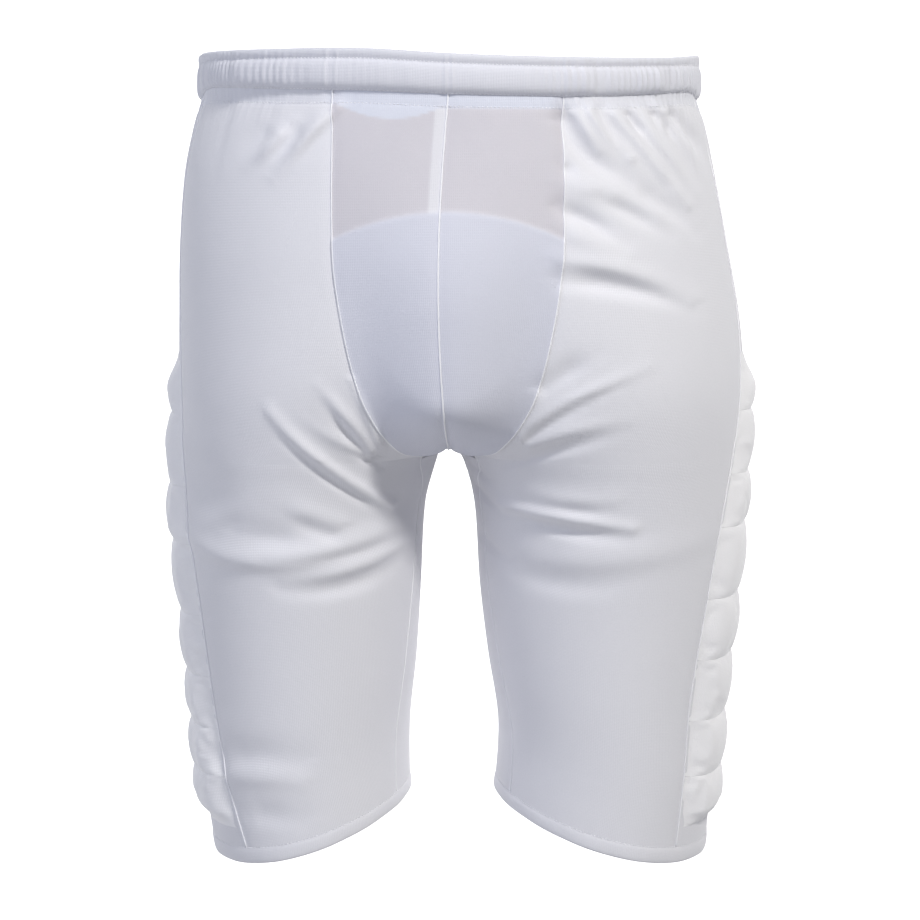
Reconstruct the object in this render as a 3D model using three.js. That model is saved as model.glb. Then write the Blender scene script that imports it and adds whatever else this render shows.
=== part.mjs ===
// Padded protective shorts, as worn: an elastic waistband, a front pouch in two halves with a
// second layer inside it, a front and a back panel for each leg, a side panel that carries eight
// padded ribs down the outside of each thigh, and a folded hem round each leg.
//
// Millimetres, +Z up. The origin is in the middle of the waist, half way up the waistband. The
// front faces -Y. The right leg is the one at +X, as a viewer in front of the shorts sees it.
//
// Every cloth piece is a patch of one body surface. A place on it is given by
//   side   -1 for the left half, +1 for the right half,
//   at     the level: 0 at the waistband's lower edge, 1 at the crotch, 2 at the leg's edge,
//   turn   the angle round the leg: 0 at the outside, -180 degrees at the inside by way of the
//          front, +180 degrees at the inside by way of the back.

import * as THREE from 'three';

// Body sizes
const waistWidth = 300;      // across the waist, under the waistband
const waistDepth = 208;      // front to back there
const hipWidth = 350;        // across the hips, without the pads
const hipFront = 118;        // from the side seams' plane to the front of the hips
const hipBack = 134;         // from the same plane to the seat
const hemSpan = 308;         // across both legs at their edges
const hemGap = 55;           // between the two legs at their edges
const hemDepth = 160;        // front to back of a leg at its edge
const sway = 7;              // how far the hips and legs hang over to the right
const rise = 211;            // waistband's lower edge to crotch
const legLength = 250;       // crotch to the leg's edge, down the outside
const hemRise = 35;          // how much higher the leg's edge lies at the inside
const crotchRound = 40;      // height over which the front rounds under into the crotch
const crotchWidth = 9;       // flat cloth between the legs at the crotch
const crotchFade = 48;       // how much higher the rounding starts on the legs' fronts
const inseamTurn = 163;      // degrees round the leg from its outside, by the front, to its inseam

// Waistband
const bandHeight = 27;       // top to bottom
const bandWall = 3.2;        // cloth and elastic together, without the swell
const bandSwell = 2.8;       // how far the elastic stands out between its stitch lines
const gatherDepth = 1.6;     // depth of the strongest gathers
const gatherCount = 36;      // gathers round the waist
const gatherFade = 63;       // how far down the panels the gathers reach

// Front pouch
const pouchWidth = 132;      // between its two seams at the waistband
const pouchSwell = 15;       // how far it stands out
const centreBow = 5.5;       // how far its middle seam bows to the left
const liningTop = 62;        // from the waistband's lower edge to the top of the inner layer
const liningArch = 17;       // how much lower the inner layer's top lies at its ends
const liningStop = 9.5;      // from the inner layer's foot down to the crotch

// Cloth and hems
const cloth = 1.5;           // wall of every panel
const liningCloth = 1.2;     // wall of the inner layer
const hemHeight = 10;        // height of the folded hem
const hemWall = 2.4;         // its wall, folded cloth
const hemRoll = 1;           // height of its rounded lower edge
const seam = 0.3;            // gap between any two neighbours
const liningSeat = 2.0;      // gap between the inner layer and the pouch in front of it
const pouchSeamLow = 3.0;    // gap at the pouch's seams, where they turn under the crotch
const bandSeam = 0.7;        // gap between the waistband and the gathered panels under it
const hemSeam = 0.8;         // gap between a hem and the panels above it

// Padded ribs on the side panels
const padTop = 151;          // from the waistband's lower edge to the first rib
const padStop = 12;          // from the last rib down to the hem
const padSwell = 8;          // thickness of a rib at its middle
const padEdge = 5.2;         // thickness where two ribs are stitched together
const padTip = 0.8;          // thickness at the ends of a rib and of the whole row
const padMargin = 3;         // from a rib's end to the side panel's seam
const padSeat = 0.7;         // clearance under a rib

// Sections of the body surface. width goes from the waist (0) to the hips (1) and on to the
// legs' edges (2). spread is how far each half is centred on its own leg. gap is the space
// between the legs, front and back are depths, and lean and leanIn the sway outside and inside.
// front and back go from the waist (0) to the hips (1) and on to the legs' edges (2) too.
const sections = [
  { at: 0.00, width: 0.00, spread: 0.00, gap: 0.00, front: 0.00, back: 0.00, lean: 0.00, leanIn: 0.00 },
  { at: 0.08, width: 0.22, spread: 0.08, gap: 0.00, front: 0.25, back: 0.22, lean: 0.03, leanIn: 0.00 },
  { at: 0.21, width: 0.46, spread: 0.24, gap: 0.00, front: 0.58, back: 0.55, lean: 0.08, leanIn: 0.00 },
  { at: 0.42, width: 0.70, spread: 0.48, gap: 0.00, front: 0.92, back: 0.92, lean: 0.44, leanIn: 0.00 },
  { at: 0.62, width: 0.87, spread: 0.68, gap: 0.00, front: 1.00, back: 1.02, lean: 0.92, leanIn: 0.00 },
  { at: 0.82, width: 0.96, spread: 0.87, gap: 0.00, front: 1.10, back: 1.00, lean: 1.10, leanIn: 0.00 },
  { at: 1.00, width: 1.02, spread: 1.00, gap: 0.00, front: 1.34, back: 1.30, lean: 0.90, leanIn: 0.00 },
  { at: 1.05, width: 1.04, spread: 1.00, gap: 0.20, front: 1.42, back: 1.40, lean: 0.85, leanIn: 0.10 },
  { at: 1.16, width: 1.10, spread: 1.00, gap: 0.46, front: 1.55, back: 1.55, lean: 0.80, leanIn: 0.08 },
  { at: 1.40, width: 1.35, spread: 1.00, gap: 0.60, front: 1.74, back: 1.76, lean: 0.82, leanIn: 0.12 },
  { at: 1.60, width: 1.58, spread: 1.00, gap: 0.77, front: 1.86, back: 1.88, lean: 0.76, leanIn: 0.30 },
  { at: 1.80, width: 1.74, spread: 1.00, gap: 1.00, front: 1.95, back: 1.96, lean: 0.76, leanIn: 0.45 },
  { at: 2.00, width: 2.00, spread: 1.00, gap: 0.96, front: 2.00, back: 2.00, lean: 1.00, leanIn: 0.30 },
];

// Seams. pouch is the seam beside the pouch, from the crotch's edge (0) to the pouch's full width
// (1). left, right and back are the side panel's seams: the front one on the left and on the
// right, and the back one, in degrees round the leg from its outside.
const seams = [
  { at: 0.00, pouch: 1.00, left: 9, right: 9, back: 10 },
  { at: 0.42, pouch: 0.99, left: 10, right: 10, back: 14 },
  { at: 0.62, pouch: 0.90, left: 13, right: 13, back: 20 },
  { at: 0.80, pouch: 0.75, left: 17, right: 18, back: 27 },
  { at: 0.90, pouch: 0.59, left: 20, right: 22, back: 31 },
  { at: 0.95, pouch: 0.45, left: 21, right: 24, back: 33 },
  { at: 0.98, pouch: 0.29, left: 22, right: 26, back: 35 },
  { at: 1.00, pouch: 0.00, left: 23, right: 27, back: 36 },
  { at: 1.15, pouch: 0.00, left: 29, right: 35, back: 40 },
  { at: 1.30, pouch: 0.00, left: 33, right: 40, back: 44 },
  { at: 1.60, pouch: 0.00, left: 39, right: 47, back: 50 },
  { at: 1.80, pouch: 0.00, left: 47, right: 49, back: 52 },
  { at: 2.00, pouch: 0.00, left: 57, right: 51, back: 54 },
];

// Lower edge of each rib, as a share of the padded length, on the left and on the right.
const ribs = [
  { left: 0.13, right: 0.12 },
  { left: 0.28, right: 0.25 },
  { left: 0.40, right: 0.36 },
  { left: 0.55, right: 0.51 },
  { left: 0.68, right: 0.64 },
  { left: 0.79, right: 0.77 },
  { left: 0.89, right: 0.89 },
  { left: 1.00, right: 1.00 },
];

// Folds as straight ridges, or dents where height is negative. face is -1 on the front and +1
// on the back. x and x2 are shares of half the hip width, at and at2 levels, width and height
// are shares of foldWidth and foldHeight.
const foldWidth = 12;
const foldHeight = 4;
const folds = [
  { face: -1, x: -0.38, at: 0.04, x2: -0.61, at2: 0.22, width: 0.8, height: 0.8 },
  { face: -1, x: -0.54, at: 0.05, x2: -0.66, at2: 0.17, width: 0.7, height: 0.7 },
  { face: -1, x: -0.24, at: 0.96, x2: -0.44, at2: 0.76, width: 0.7, height: 1.2 },
  { face: -1, x: -0.37, at: 1.00, x2: -0.60, at2: 0.86, width: 1.0, height: 1.2 },
  { face: -1, x: -0.21, at: 1.09, x2: -0.47, at2: 0.98, width: 0.8, height: 1.0 },
  { face: -1, x: -0.76, at: 1.22, x2: -0.35, at2: 1.22, width: 0.9, height: 0.8 },
  { face: -1, x: -0.35, at: 1.22, x2: -0.20, at2: 1.18, width: 0.8, height: 0.7 },
  { face: -1, x: -0.74, at: 1.66, x2: -0.58, at2: 1.69, width: 1.0, height: -0.8 },
  { face: -1, x: -0.72, at: 1.81, x2: -0.60, at2: 1.83, width: 0.9, height: -0.8 },
  { face: -1, x: 0.44, at: 0.11, x2: 0.66, at2: 0.20, width: 0.6, height: -0.9 },
  { face: -1, x: 0.66, at: 0.20, x2: 0.82, at2: 0.32, width: 0.6, height: -0.8 },
  { face: -1, x: 0.40, at: 0.31, x2: 0.63, at2: 0.42, width: 0.6, height: -0.7 },
  { face: -1, x: 0.40, at: 0.46, x2: 0.63, at2: 0.49, width: 0.9, height: 1.0 },
  { face: -1, x: 0.63, at: 0.49, x2: 0.85, at2: 0.60, width: 0.9, height: 1.0 },
  { face: -1, x: 0.22, at: 0.90, x2: 0.62, at2: 0.74, width: 0.8, height: 1.1 },
  { face: -1, x: 0.22, at: 0.96, x2: 0.48, at2: 0.89, width: 0.7, height: 1.0 },
  { face: -1, x: 0.21, at: 1.08, x2: 0.63, at2: 1.13, width: 0.8, height: 1.0 },
  { face: -1, x: 0.26, at: 1.24, x2: 0.50, at2: 1.29, width: 0.8, height: -0.8 },
  { face: 1, x: -0.12, at: 0.98, x2: -0.55, at2: 1.12, width: 1.0, height: 1.0 },
  { face: 1, x: 0.12, at: 0.98, x2: 0.55, at2: 1.12, width: 1.0, height: 1.0 },
  { face: 1, x: -0.18, at: 1.10, x2: -0.60, at2: 1.26, width: 0.9, height: 0.8 },
  { face: 1, x: 0.18, at: 1.10, x2: 0.60, at2: 1.26, width: 0.9, height: 0.8 },
];

// Waistband section, up one side and down the other. wall goes from the inner face (0) to the
// outer face (1), swell is the share of bandSwell added there, up goes from bottom to top.
const bandProfile = [
  { wall: 1.0, swell: 0.00, up: 0.00, gather: 0.4 },
  { wall: 1.0, swell: 0.20, up: 0.10, gather: 0.6 },
  { wall: 1.0, swell: 0.00, up: 0.22, gather: 0.5 },
  { wall: 1.0, swell: 0.85, up: 0.38, gather: 1.0 },
  { wall: 1.0, swell: 1.00, up: 0.54, gather: 1.0 },
  { wall: 1.0, swell: 0.65, up: 0.68, gather: 0.9 },
  { wall: 1.0, swell: -0.05, up: 0.80, gather: 0.5 },
  { wall: 1.0, swell: 0.05, up: 0.93, gather: 0.4 },
  { wall: 0.6, swell: 0.00, up: 1.00, gather: 0.4 },
  { wall: 0.0, swell: 0.00, up: 0.97, gather: 0.4 },
  { wall: 0.0, swell: 0.00, up: 0.02, gather: 0.4 },
];

// Strength of the gathers round the waist, in degrees from the right side by way of the back.
const gathers = [
  { turn: 0, strength: 0.7 },
  { turn: 90, strength: 0.6 },
  { turn: 180, strength: 0.5 },
  { turn: 255, strength: 0.3 },
  { turn: 290, strength: 0.4 },
  { turn: 310, strength: 1.0 },
  { turn: 345, strength: 1.0 },
  { turn: 360, strength: 0.7 },
];

// Degrees round the leg up to which a panel's columns run straight down.
const frontTurn = 110;

// Number of faces across the pieces
const frontColumns = 10;
const backColumns = 8;
const sideColumns = 5;
const pouchColumns = 5;
const liningColumns = 8;
const liningRows = 10;
const padRows = 4;
const hemColumns = 40;
const bandColumns = 72;

const degree = Math.PI / 180;
const bottomOfBand = -bandHeight / 2;
const crotchHeight = bottomOfBand - rise;

const mix = (a, b, share) => a + (b - a) * share;
const clamp = (value, low, high) => Math.min(high, Math.max(low, value));
const smooth = (low, high, value) => {
  const share = clamp((value - low) / (high - low), 0, 1);
  return share * share * (3 - 2 * share);
};
const evenly = (low, high, count) =>
  Array.from({ length: count + 1 }, (_, i) => mix(low, high, i / count));

// A column of a table at any place of its key column, along a smooth curve through the rows.
function read(table, column, place, key = 'at') {
  const last = table.length - 1;
  let i = 0;
  while (i < last - 1 && place > table[i + 1][key]) i += 1;
  const slope = (row) => {
    const before = table[Math.max(row - 1, 0)];
    const after = table[Math.min(row + 1, last)];
    return (after[column] - before[column]) / (after[key] - before[key]);
  };
  const length = table[i + 1][key] - table[i][key];
  const t = clamp((place - table[i][key]) / length, 0, 1);
  const start = table[i][column];
  const end = table[i + 1][column];
  return (2 * t ** 3 - 3 * t ** 2 + 1) * start + (t ** 3 - 2 * t ** 2 + t) * length * slope(i)
    + (3 * t ** 2 - 2 * t ** 3) * end + (t ** 3 - t ** 2) * length * slope(i + 1);
}

// Mixes three named sizes by a share that runs 0, 1, 2 from the first to the third.
const along = (first, second, third, share) =>
  share < 1 ? mix(first, second, share) : mix(second, third, share - 1);

// The section of one half at a level: an ellipse with its centre, half width and two depths.
function section(side, at) {
  const value = (column) => read(sections, column, at);
  const half = along(waistWidth / 2, hipWidth / 2, hemSpan / 2, value('width'));
  const outside = half + side * sway * value('lean');
  const inside = mix(crotchWidth, hemGap, value('gap')) / 2 + side * sway * value('leanIn');
  const centre = ((outside + inside) / 2) * value('spread');
  return {
    centre,
    width: outside - centre,
    front: along(waistDepth / 2, hipFront, hemDepth / 2, value('front')),
    back: along(waistDepth / 2, hipBack, hemDepth / 2, value('back')),
  };
}

// How far the cloth still spans straight across between the legs: 1 above, 0 at the crotch.
// inward goes from the leg's front or back (0), where this ends softly, to the middle (1), where
// it is a quarter of a circle.
function span(at, inward) {
  const reach = (crotchRound + crotchFade * (1 - inward)) / rise;
  const share = clamp((at - 1 + reach) / reach, 0, 1);
  return (1 - share * share) ** mix(2, 0.5, inward);
}

// Height of a level. The legs' edges rise towards their insides.
const levelHeight = (at, turn) => {
  if (at < 1) return bottomOfBand - at * rise;
  const inward = ((1 - Math.cos(turn)) / 2) ** 1.5;
  return crotchHeight - (at - 1) * (legLength - hemRise * inward);
};

// Half of the distance between the pouch's seams at a level.
const pouchHalf = (at) => mix(crotchWidth, pouchWidth, read(seams, 'pouch', at)) / 2;

// How far the pouch stands out there: a bell across, rising and falling down its length.
function pouchLift(x, at) {
  const across = clamp(Math.abs(x) / pouchHalf(at), 0, 1);
  const down = smooth(0.05, 0.6, at) * smooth(1, 0.84, at);
  return pouchSwell * (1 - across * across) ** 2 * down;
}

// Height of the folds at a point seen from the front or the back. They end at the middle seam.
function foldLift(x, z, face) {
  const clear = smooth(seam, foldWidth, Math.abs(x));
  let lift = 0;
  for (const fold of folds) {
    if (fold.face !== face) continue;
    const startX = (fold.x * hipWidth) / 2;
    const startZ = levelHeight(fold.at, 0);
    const runX = (fold.x2 * hipWidth) / 2 - startX;
    const runZ = levelHeight(fold.at2, 0) - startZ;
    const length = Math.hypot(runX, runZ);
    const share = ((x - startX) * runX + (z - startZ) * runZ) / (length * length);
    const near = clamp(share, 0, 1);
    const away = Math.hypot(x - startX - near * runX, z - startZ - near * runZ);
    const fade = 1 - 0.6 * smooth(0.3, 1, share);
    lift += foldHeight * fold.height * fade * Math.exp(-((away / (foldWidth * fold.width)) ** 2));
  }
  return lift * clear;
}

// Height of the gathers at a turn round the whole waist.
const gatherWave = (turn) => {
  const full = ((turn / degree) % 360 + 360) % 360;
  return gatherDepth * read(gathers, 'strength', full, 'turn') * Math.cos((turn * gatherCount) / 2);
};

// A point of the body surface without its folds. Above the crotch it goes straight on past 180
// degrees, from the leg's inside towards the middle seam. Below, it goes on round the leg.
function bodyPoint(side, at, turn) {
  const { centre, width, front, back } = section(side, at);
  const joined = at <= 1;
  const past = joined ? Math.max(Math.abs(turn) - Math.PI, 0) : 0;
  const facing = Math.sign(joined ? turn : Math.sin(turn)) || 1;
  const depth = facing < 0 ? front : back;
  const x = past > 0 ? centre - width - width * past : centre + width * Math.cos(turn);
  const swing = past > 0 ? 0 : Math.abs(Math.sin(turn));
  const inward = smooth(Math.max(centre, crotchWidth), crotchWidth / 2, x);
  const held = joined && Math.abs(turn) > Math.PI / 2 ? span(at, inward) : 0;
  const lift = joined && facing < 0 ? pouchLift(x, at) * Math.max(held, smooth(1, 0.5, at)) : 0;
  const y = depth * (held + (1 - held) * swing) + lift;
  return new THREE.Vector3(side * x, facing * (joined ? Math.max(y, seam / 2) : y), levelHeight(at, turn));
}

// The turn at which a half's section reaches a given distance from the middle plane.
function turnAt(side, at, x) {
  const { centre, width } = section(side, at);
  const inside = centre - width;
  return x < inside ? Math.PI + (inside - x) / width : Math.acos(clamp((x - centre) / width, -1, 1));
}

// A point seen from the front, at x from the middle plane on either side of it, down to the crotch.
function frontPoint(x, level) {
  const side = x < 0 ? -1 : 1;
  const at = Math.min(level, 1);
  return bodyPoint(side, at, -turnAt(side, at, Math.abs(x)));
}

// Outward direction at a point of a surface, from two neighbours along each parameter.
function outward(surface, u, v, stepU, stepV) {
  const alongU = surface(u + stepU, v).sub(surface(u - stepU, v));
  const alongV = surface(u, v + stepV).sub(surface(u, v - stepV));
  return alongV.cross(alongU).normalize();
}

// The way that folds and gathers stand out: level, and to the front or the back where the cloth
// rounds under.
const foldWay = (normal, face) => new THREE.Vector3(normal.x, normal.y + 0.3 * face, 0).normalize();

// A grid of points with outward directions, moved out by the folds. flip is -1 where the
// surface's two parameters run left-handed.
function grid(surface, us, vs, flip, uRange, extra = () => 0) {
  return vs.map((v, row) => us(v, row).map((u) => {
    const stepU = uRange / 400;
    const point = surface(u, v);
    const normal = outward(surface, u, v, stepU, 0.002).multiplyScalar(flip);
    const face = point.y < 0 ? -1 : 1;
    point.addScaledVector(foldWay(normal, face), foldLift(point.x, point.z, face) + extra(u, v));
    return { point, normal };
  }));
}

// A closed solid from an outer and an inner grid of points with as many rows and columns.
function solid(outer, inner) {
  const rows = outer.length;
  const columns = outer[0].length;
  const points = [...outer.flat(), ...inner.flat()];
  const outside = (r, c) => r * columns + c;
  const inside = (r, c) => rows * columns + r * columns + c;
  const faces = [];
  const quad = (a, b, c, d) => faces.push(a, b, c, a, c, d);
  for (let r = 0; r < rows - 1; r += 1) {
    for (let c = 0; c < columns - 1; c += 1) {
      quad(outside(r, c), outside(r + 1, c), outside(r + 1, c + 1), outside(r, c + 1));
      quad(inside(r, c), inside(r, c + 1), inside(r + 1, c + 1), inside(r + 1, c));
    }
  }
  for (let c = 0; c < columns - 1; c += 1) {
    quad(outside(0, c), outside(0, c + 1), inside(0, c + 1), inside(0, c));
    quad(outside(rows - 1, c + 1), outside(rows - 1, c), inside(rows - 1, c), inside(rows - 1, c + 1));
  }
  for (let r = 0; r < rows - 1; r += 1) {
    quad(outside(r + 1, 0), outside(r, 0), inside(r, 0), inside(r + 1, 0));
    quad(outside(r, columns - 1), outside(r + 1, columns - 1),
      inside(r + 1, columns - 1), inside(r, columns - 1));
  }
  return geometryFrom(points, faces);
}

// A ring from rows of points that close on themselves both ways.
function ring(loops) {
  const count = loops.length;
  const size = loops[0].length;
  const faces = [];
  for (let i = 0; i < count; i += 1) {
    for (let j = 0; j < size; j += 1) {
      const a = i * size + j;
      const b = ((i + 1) % count) * size + j;
      const c = ((i + 1) % count) * size + ((j + 1) % size);
      const d = i * size + ((j + 1) % size);
      faces.push(a, b, c, a, c, d);
    }
  }
  return geometryFrom(loops.flat(), faces);
}

// Indexed geometry, turned inside out where the faces enclose a negative volume.
function geometryFrom(points, faces) {
  let volume = 0;
  for (let i = 0; i < faces.length; i += 3) {
    const [a, b, c] = [points[faces[i]], points[faces[i + 1]], points[faces[i + 2]]];
    volume += a.dot(new THREE.Vector3().crossVectors(b, c));
  }
  const order = volume < 0 ? faces.slice().reverse() : faces;
  const geometry = new THREE.BufferGeometry();
  geometry.setFromPoints(points);
  geometry.setIndex(order);
  geometry.computeVertexNormals();
  return geometry;
}

// A cloth panel: the grid is its outer face, and the inner face lies one wall further in.
function panel(points, wall, sunk = 0) {
  const level = (depth) =>
    points.map((row) => row.map(({ point, normal }) => point.clone().addScaledVector(normal, -depth)));
  return solid(level(sunk), level(sunk + wall));
}

// Level at which the hem starts, and the levels of a side's ribs.
const hemStart = 2 - hemHeight / legLength;
const padFirst = padTop / rise;
const padLast = hemStart - padStop / legLength;
const heightOfShare = (share) => {
  const top = bottomOfBand - padTop;
  const foot = levelHeight(padLast, 0);
  const z = mix(top, foot, share);
  return z > crotchHeight ? (bottomOfBand - z) / rise : 1 + (crotchHeight - z) / legLength;
};
const sideName = (side) => (side < 0 ? 'left' : 'right');
const ribLevels = (side) => [padFirst, ...ribs.map((row) => heightOfShare(row[sideName(side)]))];

// Levels where the front rounds under, closer towards the crotch.
const crotchLevels = evenly(0, 1, 7).map((share) =>
  1 - (crotchRound / rise) * (1 - Math.sin((1 - (1 - share) ** 1.4) * 90 * degree)));

// Levels of a side's rows: down to the first rib, then two for each rib, with those of the
// crotch's round in place of the ones that lie close to them.
function levels(side) {
  const top = evenly((bandSeam - seam) / rise, padFirst, 6);
  const edges = ribLevels(side);
  const middle = edges.slice(1).flatMap((edge, i) => [mix(edges[i], edge, 0.5), edge]);
  const last = hemStart - hemSeam / legLength;
  const clear = [...top, ...middle.slice(0, -1), last].filter((level) =>
    crotchLevels.every((near) => Math.abs(near - level) > 0.02));
  return [...new Set([...clear, ...crotchLevels])].sort((a, b) => a - b);
}

// Across a panel from its outer seam to its inner one, short of both by half the seam's gap. Past
// frontTurn the columns lie closer, so that those on the leg's front run straight down.
function between(side, v, outer, inner, columns) {
  const { width, front } = section(side, v);
  const gapTurn = (seam / 2) / Math.min(width, front);
  const first = outer + gapTurn;
  const last = inner - gapTurn;
  const straight = Math.min(last, frontTurn * degree);
  return evenly(0, 1, columns).map((share) => mix(first, straight, share) + (last - straight) * share ** 3);
}

// Half the gap at the pouch's seams.
const pouchGap = (at) => mix(seam, pouchSeamLow, smooth(0.85, 0.98, at)) / 2;

// Turns of the seams: beside the side panel in front and at the back, beside the pouch, and the
// inseam below the crotch, which soon comes a little to the front of the leg's inside.
const frontSeam = (side, v) => read(seams, sideName(side), v) * degree;
const backSeam = (v) => read(seams, 'back', v) * degree;
const pouchSeam = (side, v) => turnAt(side, v, pouchHalf(v) + pouchGap(v));
const inseam = (v) => mix(180, inseamTurn, smooth(1, 1.12, v)) * degree;

const surfaceOf = (side) => (turn, at) => bodyPoint(side, at, turn);
const ruffle = (side) => (turn, at) =>
  gatherWave(side > 0 ? turn : Math.PI - turn) * smooth(gatherFade / rise, 0, at);

const legPanel = (side, us) =>
  panel(grid(surfaceOf(side), us, levels(side), side, Math.PI, ruffle(side)), cloth);

// Above the crotch the front panel ends at the pouch and the back panel at the seat's middle seam.
// Below it they meet at the inseam.
const frontPanel = (side) => legPanel(side, (v) => {
  const inner = v < 1 ? pouchSeam(side, v) : inseam(v);
  return between(side, v, frontSeam(side, v), inner, frontColumns).map((turn) => -turn).reverse();
});
const backPanel = (side) => legPanel(side, (v) => {
  const inner = v < 1 ? turnAt(side, v, 0) : 2 * Math.PI - inseam(v);
  return between(side, v, backSeam(v), inner, backColumns);
});
const sidePanel = (side) => legPanel(side, (v) =>
  between(side, v, -frontSeam(side, v), backSeam(v), sideColumns));

// The pouch's rows are those of the front panel beside it, down to the crotch.
const centreSeam = (at) => -centreBow * Math.sin(Math.PI * clamp(at, 0, 1));
const pouchRows = (side) => levels(side).filter((level) => level <= 1);

function pouchPanel(side) {
  const us = (v) => {
    const edge = side * (pouchHalf(v) - pouchGap(v));
    const line = clamp(centreSeam(v), -pouchHalf(v) / 2, pouchHalf(v) / 2);
    const middle = line + side * Math.max(pouchGap(v) / 3, seam / 2);
    return evenly(Math.min(edge, middle), Math.max(edge, middle), pouchColumns);
  };
  return panel(grid(frontPoint, us, pouchRows(side), 1, pouchWidth / 2), cloth);
}

// The inner layer hangs behind the pouch, from an arched top edge down to the crotch.
function innerPouch() {
  const foot = 1 - liningStop / rise;
  const across = evenly(-1, 1, liningColumns);
  const down = evenly(0, 1, liningRows);
  const points = down.map((t) => across.map((u) => {
    const top = (liningTop + liningArch * u * u) / rise;
    const at = mix(top, foot, t);
    const x = u * (pouchHalf(at) - seam - cloth);
    const point = frontPoint(x, at);
    const normal = outward(frontPoint, x, at, pouchWidth / 800, 0.002);
    point.addScaledVector(foldWay(normal, -1), foldLift(point.x, point.z, -1));
    return { point, normal };
  }));
  return panel(points, liningCloth, cloth + liningSeat);
}

// One padded rib: flat on its panel, domed outside, a little lower where it is stitched to the
// next, and thin at both ends, at the top of the first rib and at the foot of the last.
function rib(side, index) {
  const edges = ribLevels(side);
  const topGap = (seam / 2) / rise;
  const vs = evenly(edges[index] + topGap, edges[index + 1] - topGap, padRows);
  const us = (v) => {
    const inset = padMargin / section(side, v).width;
    return evenly(-frontSeam(side, v) + inset, backSeam(v) - inset, sideColumns);
  };
  const points = grid(surfaceOf(side), us, vs, side, Math.PI, ruffle(side));
  const seat = points.map((row) => row.map(({ point, normal }) =>
    point.clone().addScaledVector(normal, padSeat)));
  const dome = points.map((row, r) => row.map(({ point, normal }, c) => {
    const down = Math.sin(Math.PI * (r / padRows)) ** 0.6;
    const across = Math.sin(Math.PI * (c / sideColumns)) ** 0.6;
    const isTip = (index === 0 && r === 0) || (index === ribs.length - 1 && r === padRows);
    const thick = isTip ? padTip : mix(padTip, mix(padEdge, padSwell, down), across);
    return point.clone().addScaledVector(normal, padSeat + thick);
  }));
  return solid(dome, seat);
}

// The hem: folded cloth round the leg, a little proud of the panels above it.
function hem(side) {
  const surface = surfaceOf(side);
  const loops = Array.from({ length: hemColumns }, (_, i) => {
    const turn = mix(-Math.PI, Math.PI, i / hemColumns) + 1e-4;
    const normalAt = (v) => outward(surface, turn, v, 0.01, 0.002).multiplyScalar(side);
    const at = (v, out) => {
      const point = surface(turn, v);
      return point.addScaledVector(normalAt(v), out + foldLift(point.x, point.z, Math.sign(turn)));
    };
    const low = 2 - hemRoll / legLength;
    const proud = hemWall - cloth;
    return [
      at(hemStart, proud * 0.4), at(mix(hemStart, low, 0.35), proud), at(low, proud * 0.7),
      at(2, -cloth / 2), at(low, -cloth), at(hemStart, -cloth),
    ];
  });
  return ring(loops);
}

function waistband() {
  const loops = Array.from({ length: bandColumns }, (_, i) => {
    const round = (i / bandColumns) * 2 * Math.PI;
    const side = Math.cos(round) >= 0 ? 1 : -1;
    const turn = side > 0 ? Math.atan2(Math.sin(round), Math.cos(round))
      : Math.atan2(Math.sin(round), -Math.cos(round));
    const point = bodyPoint(side, 0, turn || 1e-6);
    const outwards = new THREE.Vector3(point.x / (waistWidth / 2) ** 2, point.y / (waistDepth / 2) ** 2, 0)
      .normalize();
    const wave = gatherWave(round);
    return bandProfile.map((row) => {
      const out = bandWall * (row.wall - 0.6) + bandSwell * row.swell + wave * row.gather;
      const corner = point.clone().addScaledVector(outwards, out);
      corner.z = bottomOfBand + seam + (bandHeight - seam) * row.up;
      return corner;
    });
  });
  return ring(loops);
}

const knit = new THREE.MeshStandardMaterial({ color: 0xe9e9ee, roughness: 0.85, metalness: 0 });
const elastic = new THREE.MeshStandardMaterial({ color: 0xeeeef2, roughness: 0.8, metalness: 0 });
const padding = new THREE.MeshStandardMaterial({ color: 0xf0f0f2, roughness: 0.9, metalness: 0 });
const lining = new THREE.MeshStandardMaterial({ color: 0xf6f6f8, roughness: 0.9, metalness: 0 });

const shorts = new THREE.Group();

function add(name, geometry, material) {
  const mesh = new THREE.Mesh(geometry, material);
  mesh.name = name;
  shorts.add(mesh);
}

add('waistband', waistband(), elastic);
add('inner_pouch', innerPouch(), lining);
for (const side of [-1, 1]) {
  const name = sideName(side);
  add(`pouch_${name}`, pouchPanel(side), knit);
  add(`front_${name}`, frontPanel(side), knit);
  add(`side_${name}`, sidePanel(side), knit);
  add(`back_${name}`, backPanel(side), knit);
  add(`hem_${name}`, hem(side), knit);
  ribs.forEach((_, index) => add(`pad_${name}_${index + 1}`, rib(side, index), padding));
}

export default shorts;
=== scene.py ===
# %% [markdown]
# # Padded protective shorts
#
# This notebook dresses a pair of white knitted sports shorts, as worn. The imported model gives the
# frame: the size and place of every piece. Every visible piece here is a surface worked out with
# numpy from the same sections as that model, only finer: with folds, gathers, seams, stitches and
# padded ribs. Lengths are in millimetres until a mesh is made, where they become metres. The
# front faces -Y, and the right leg is the one at +X.

# %% Load the fixed frame
import math

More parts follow.
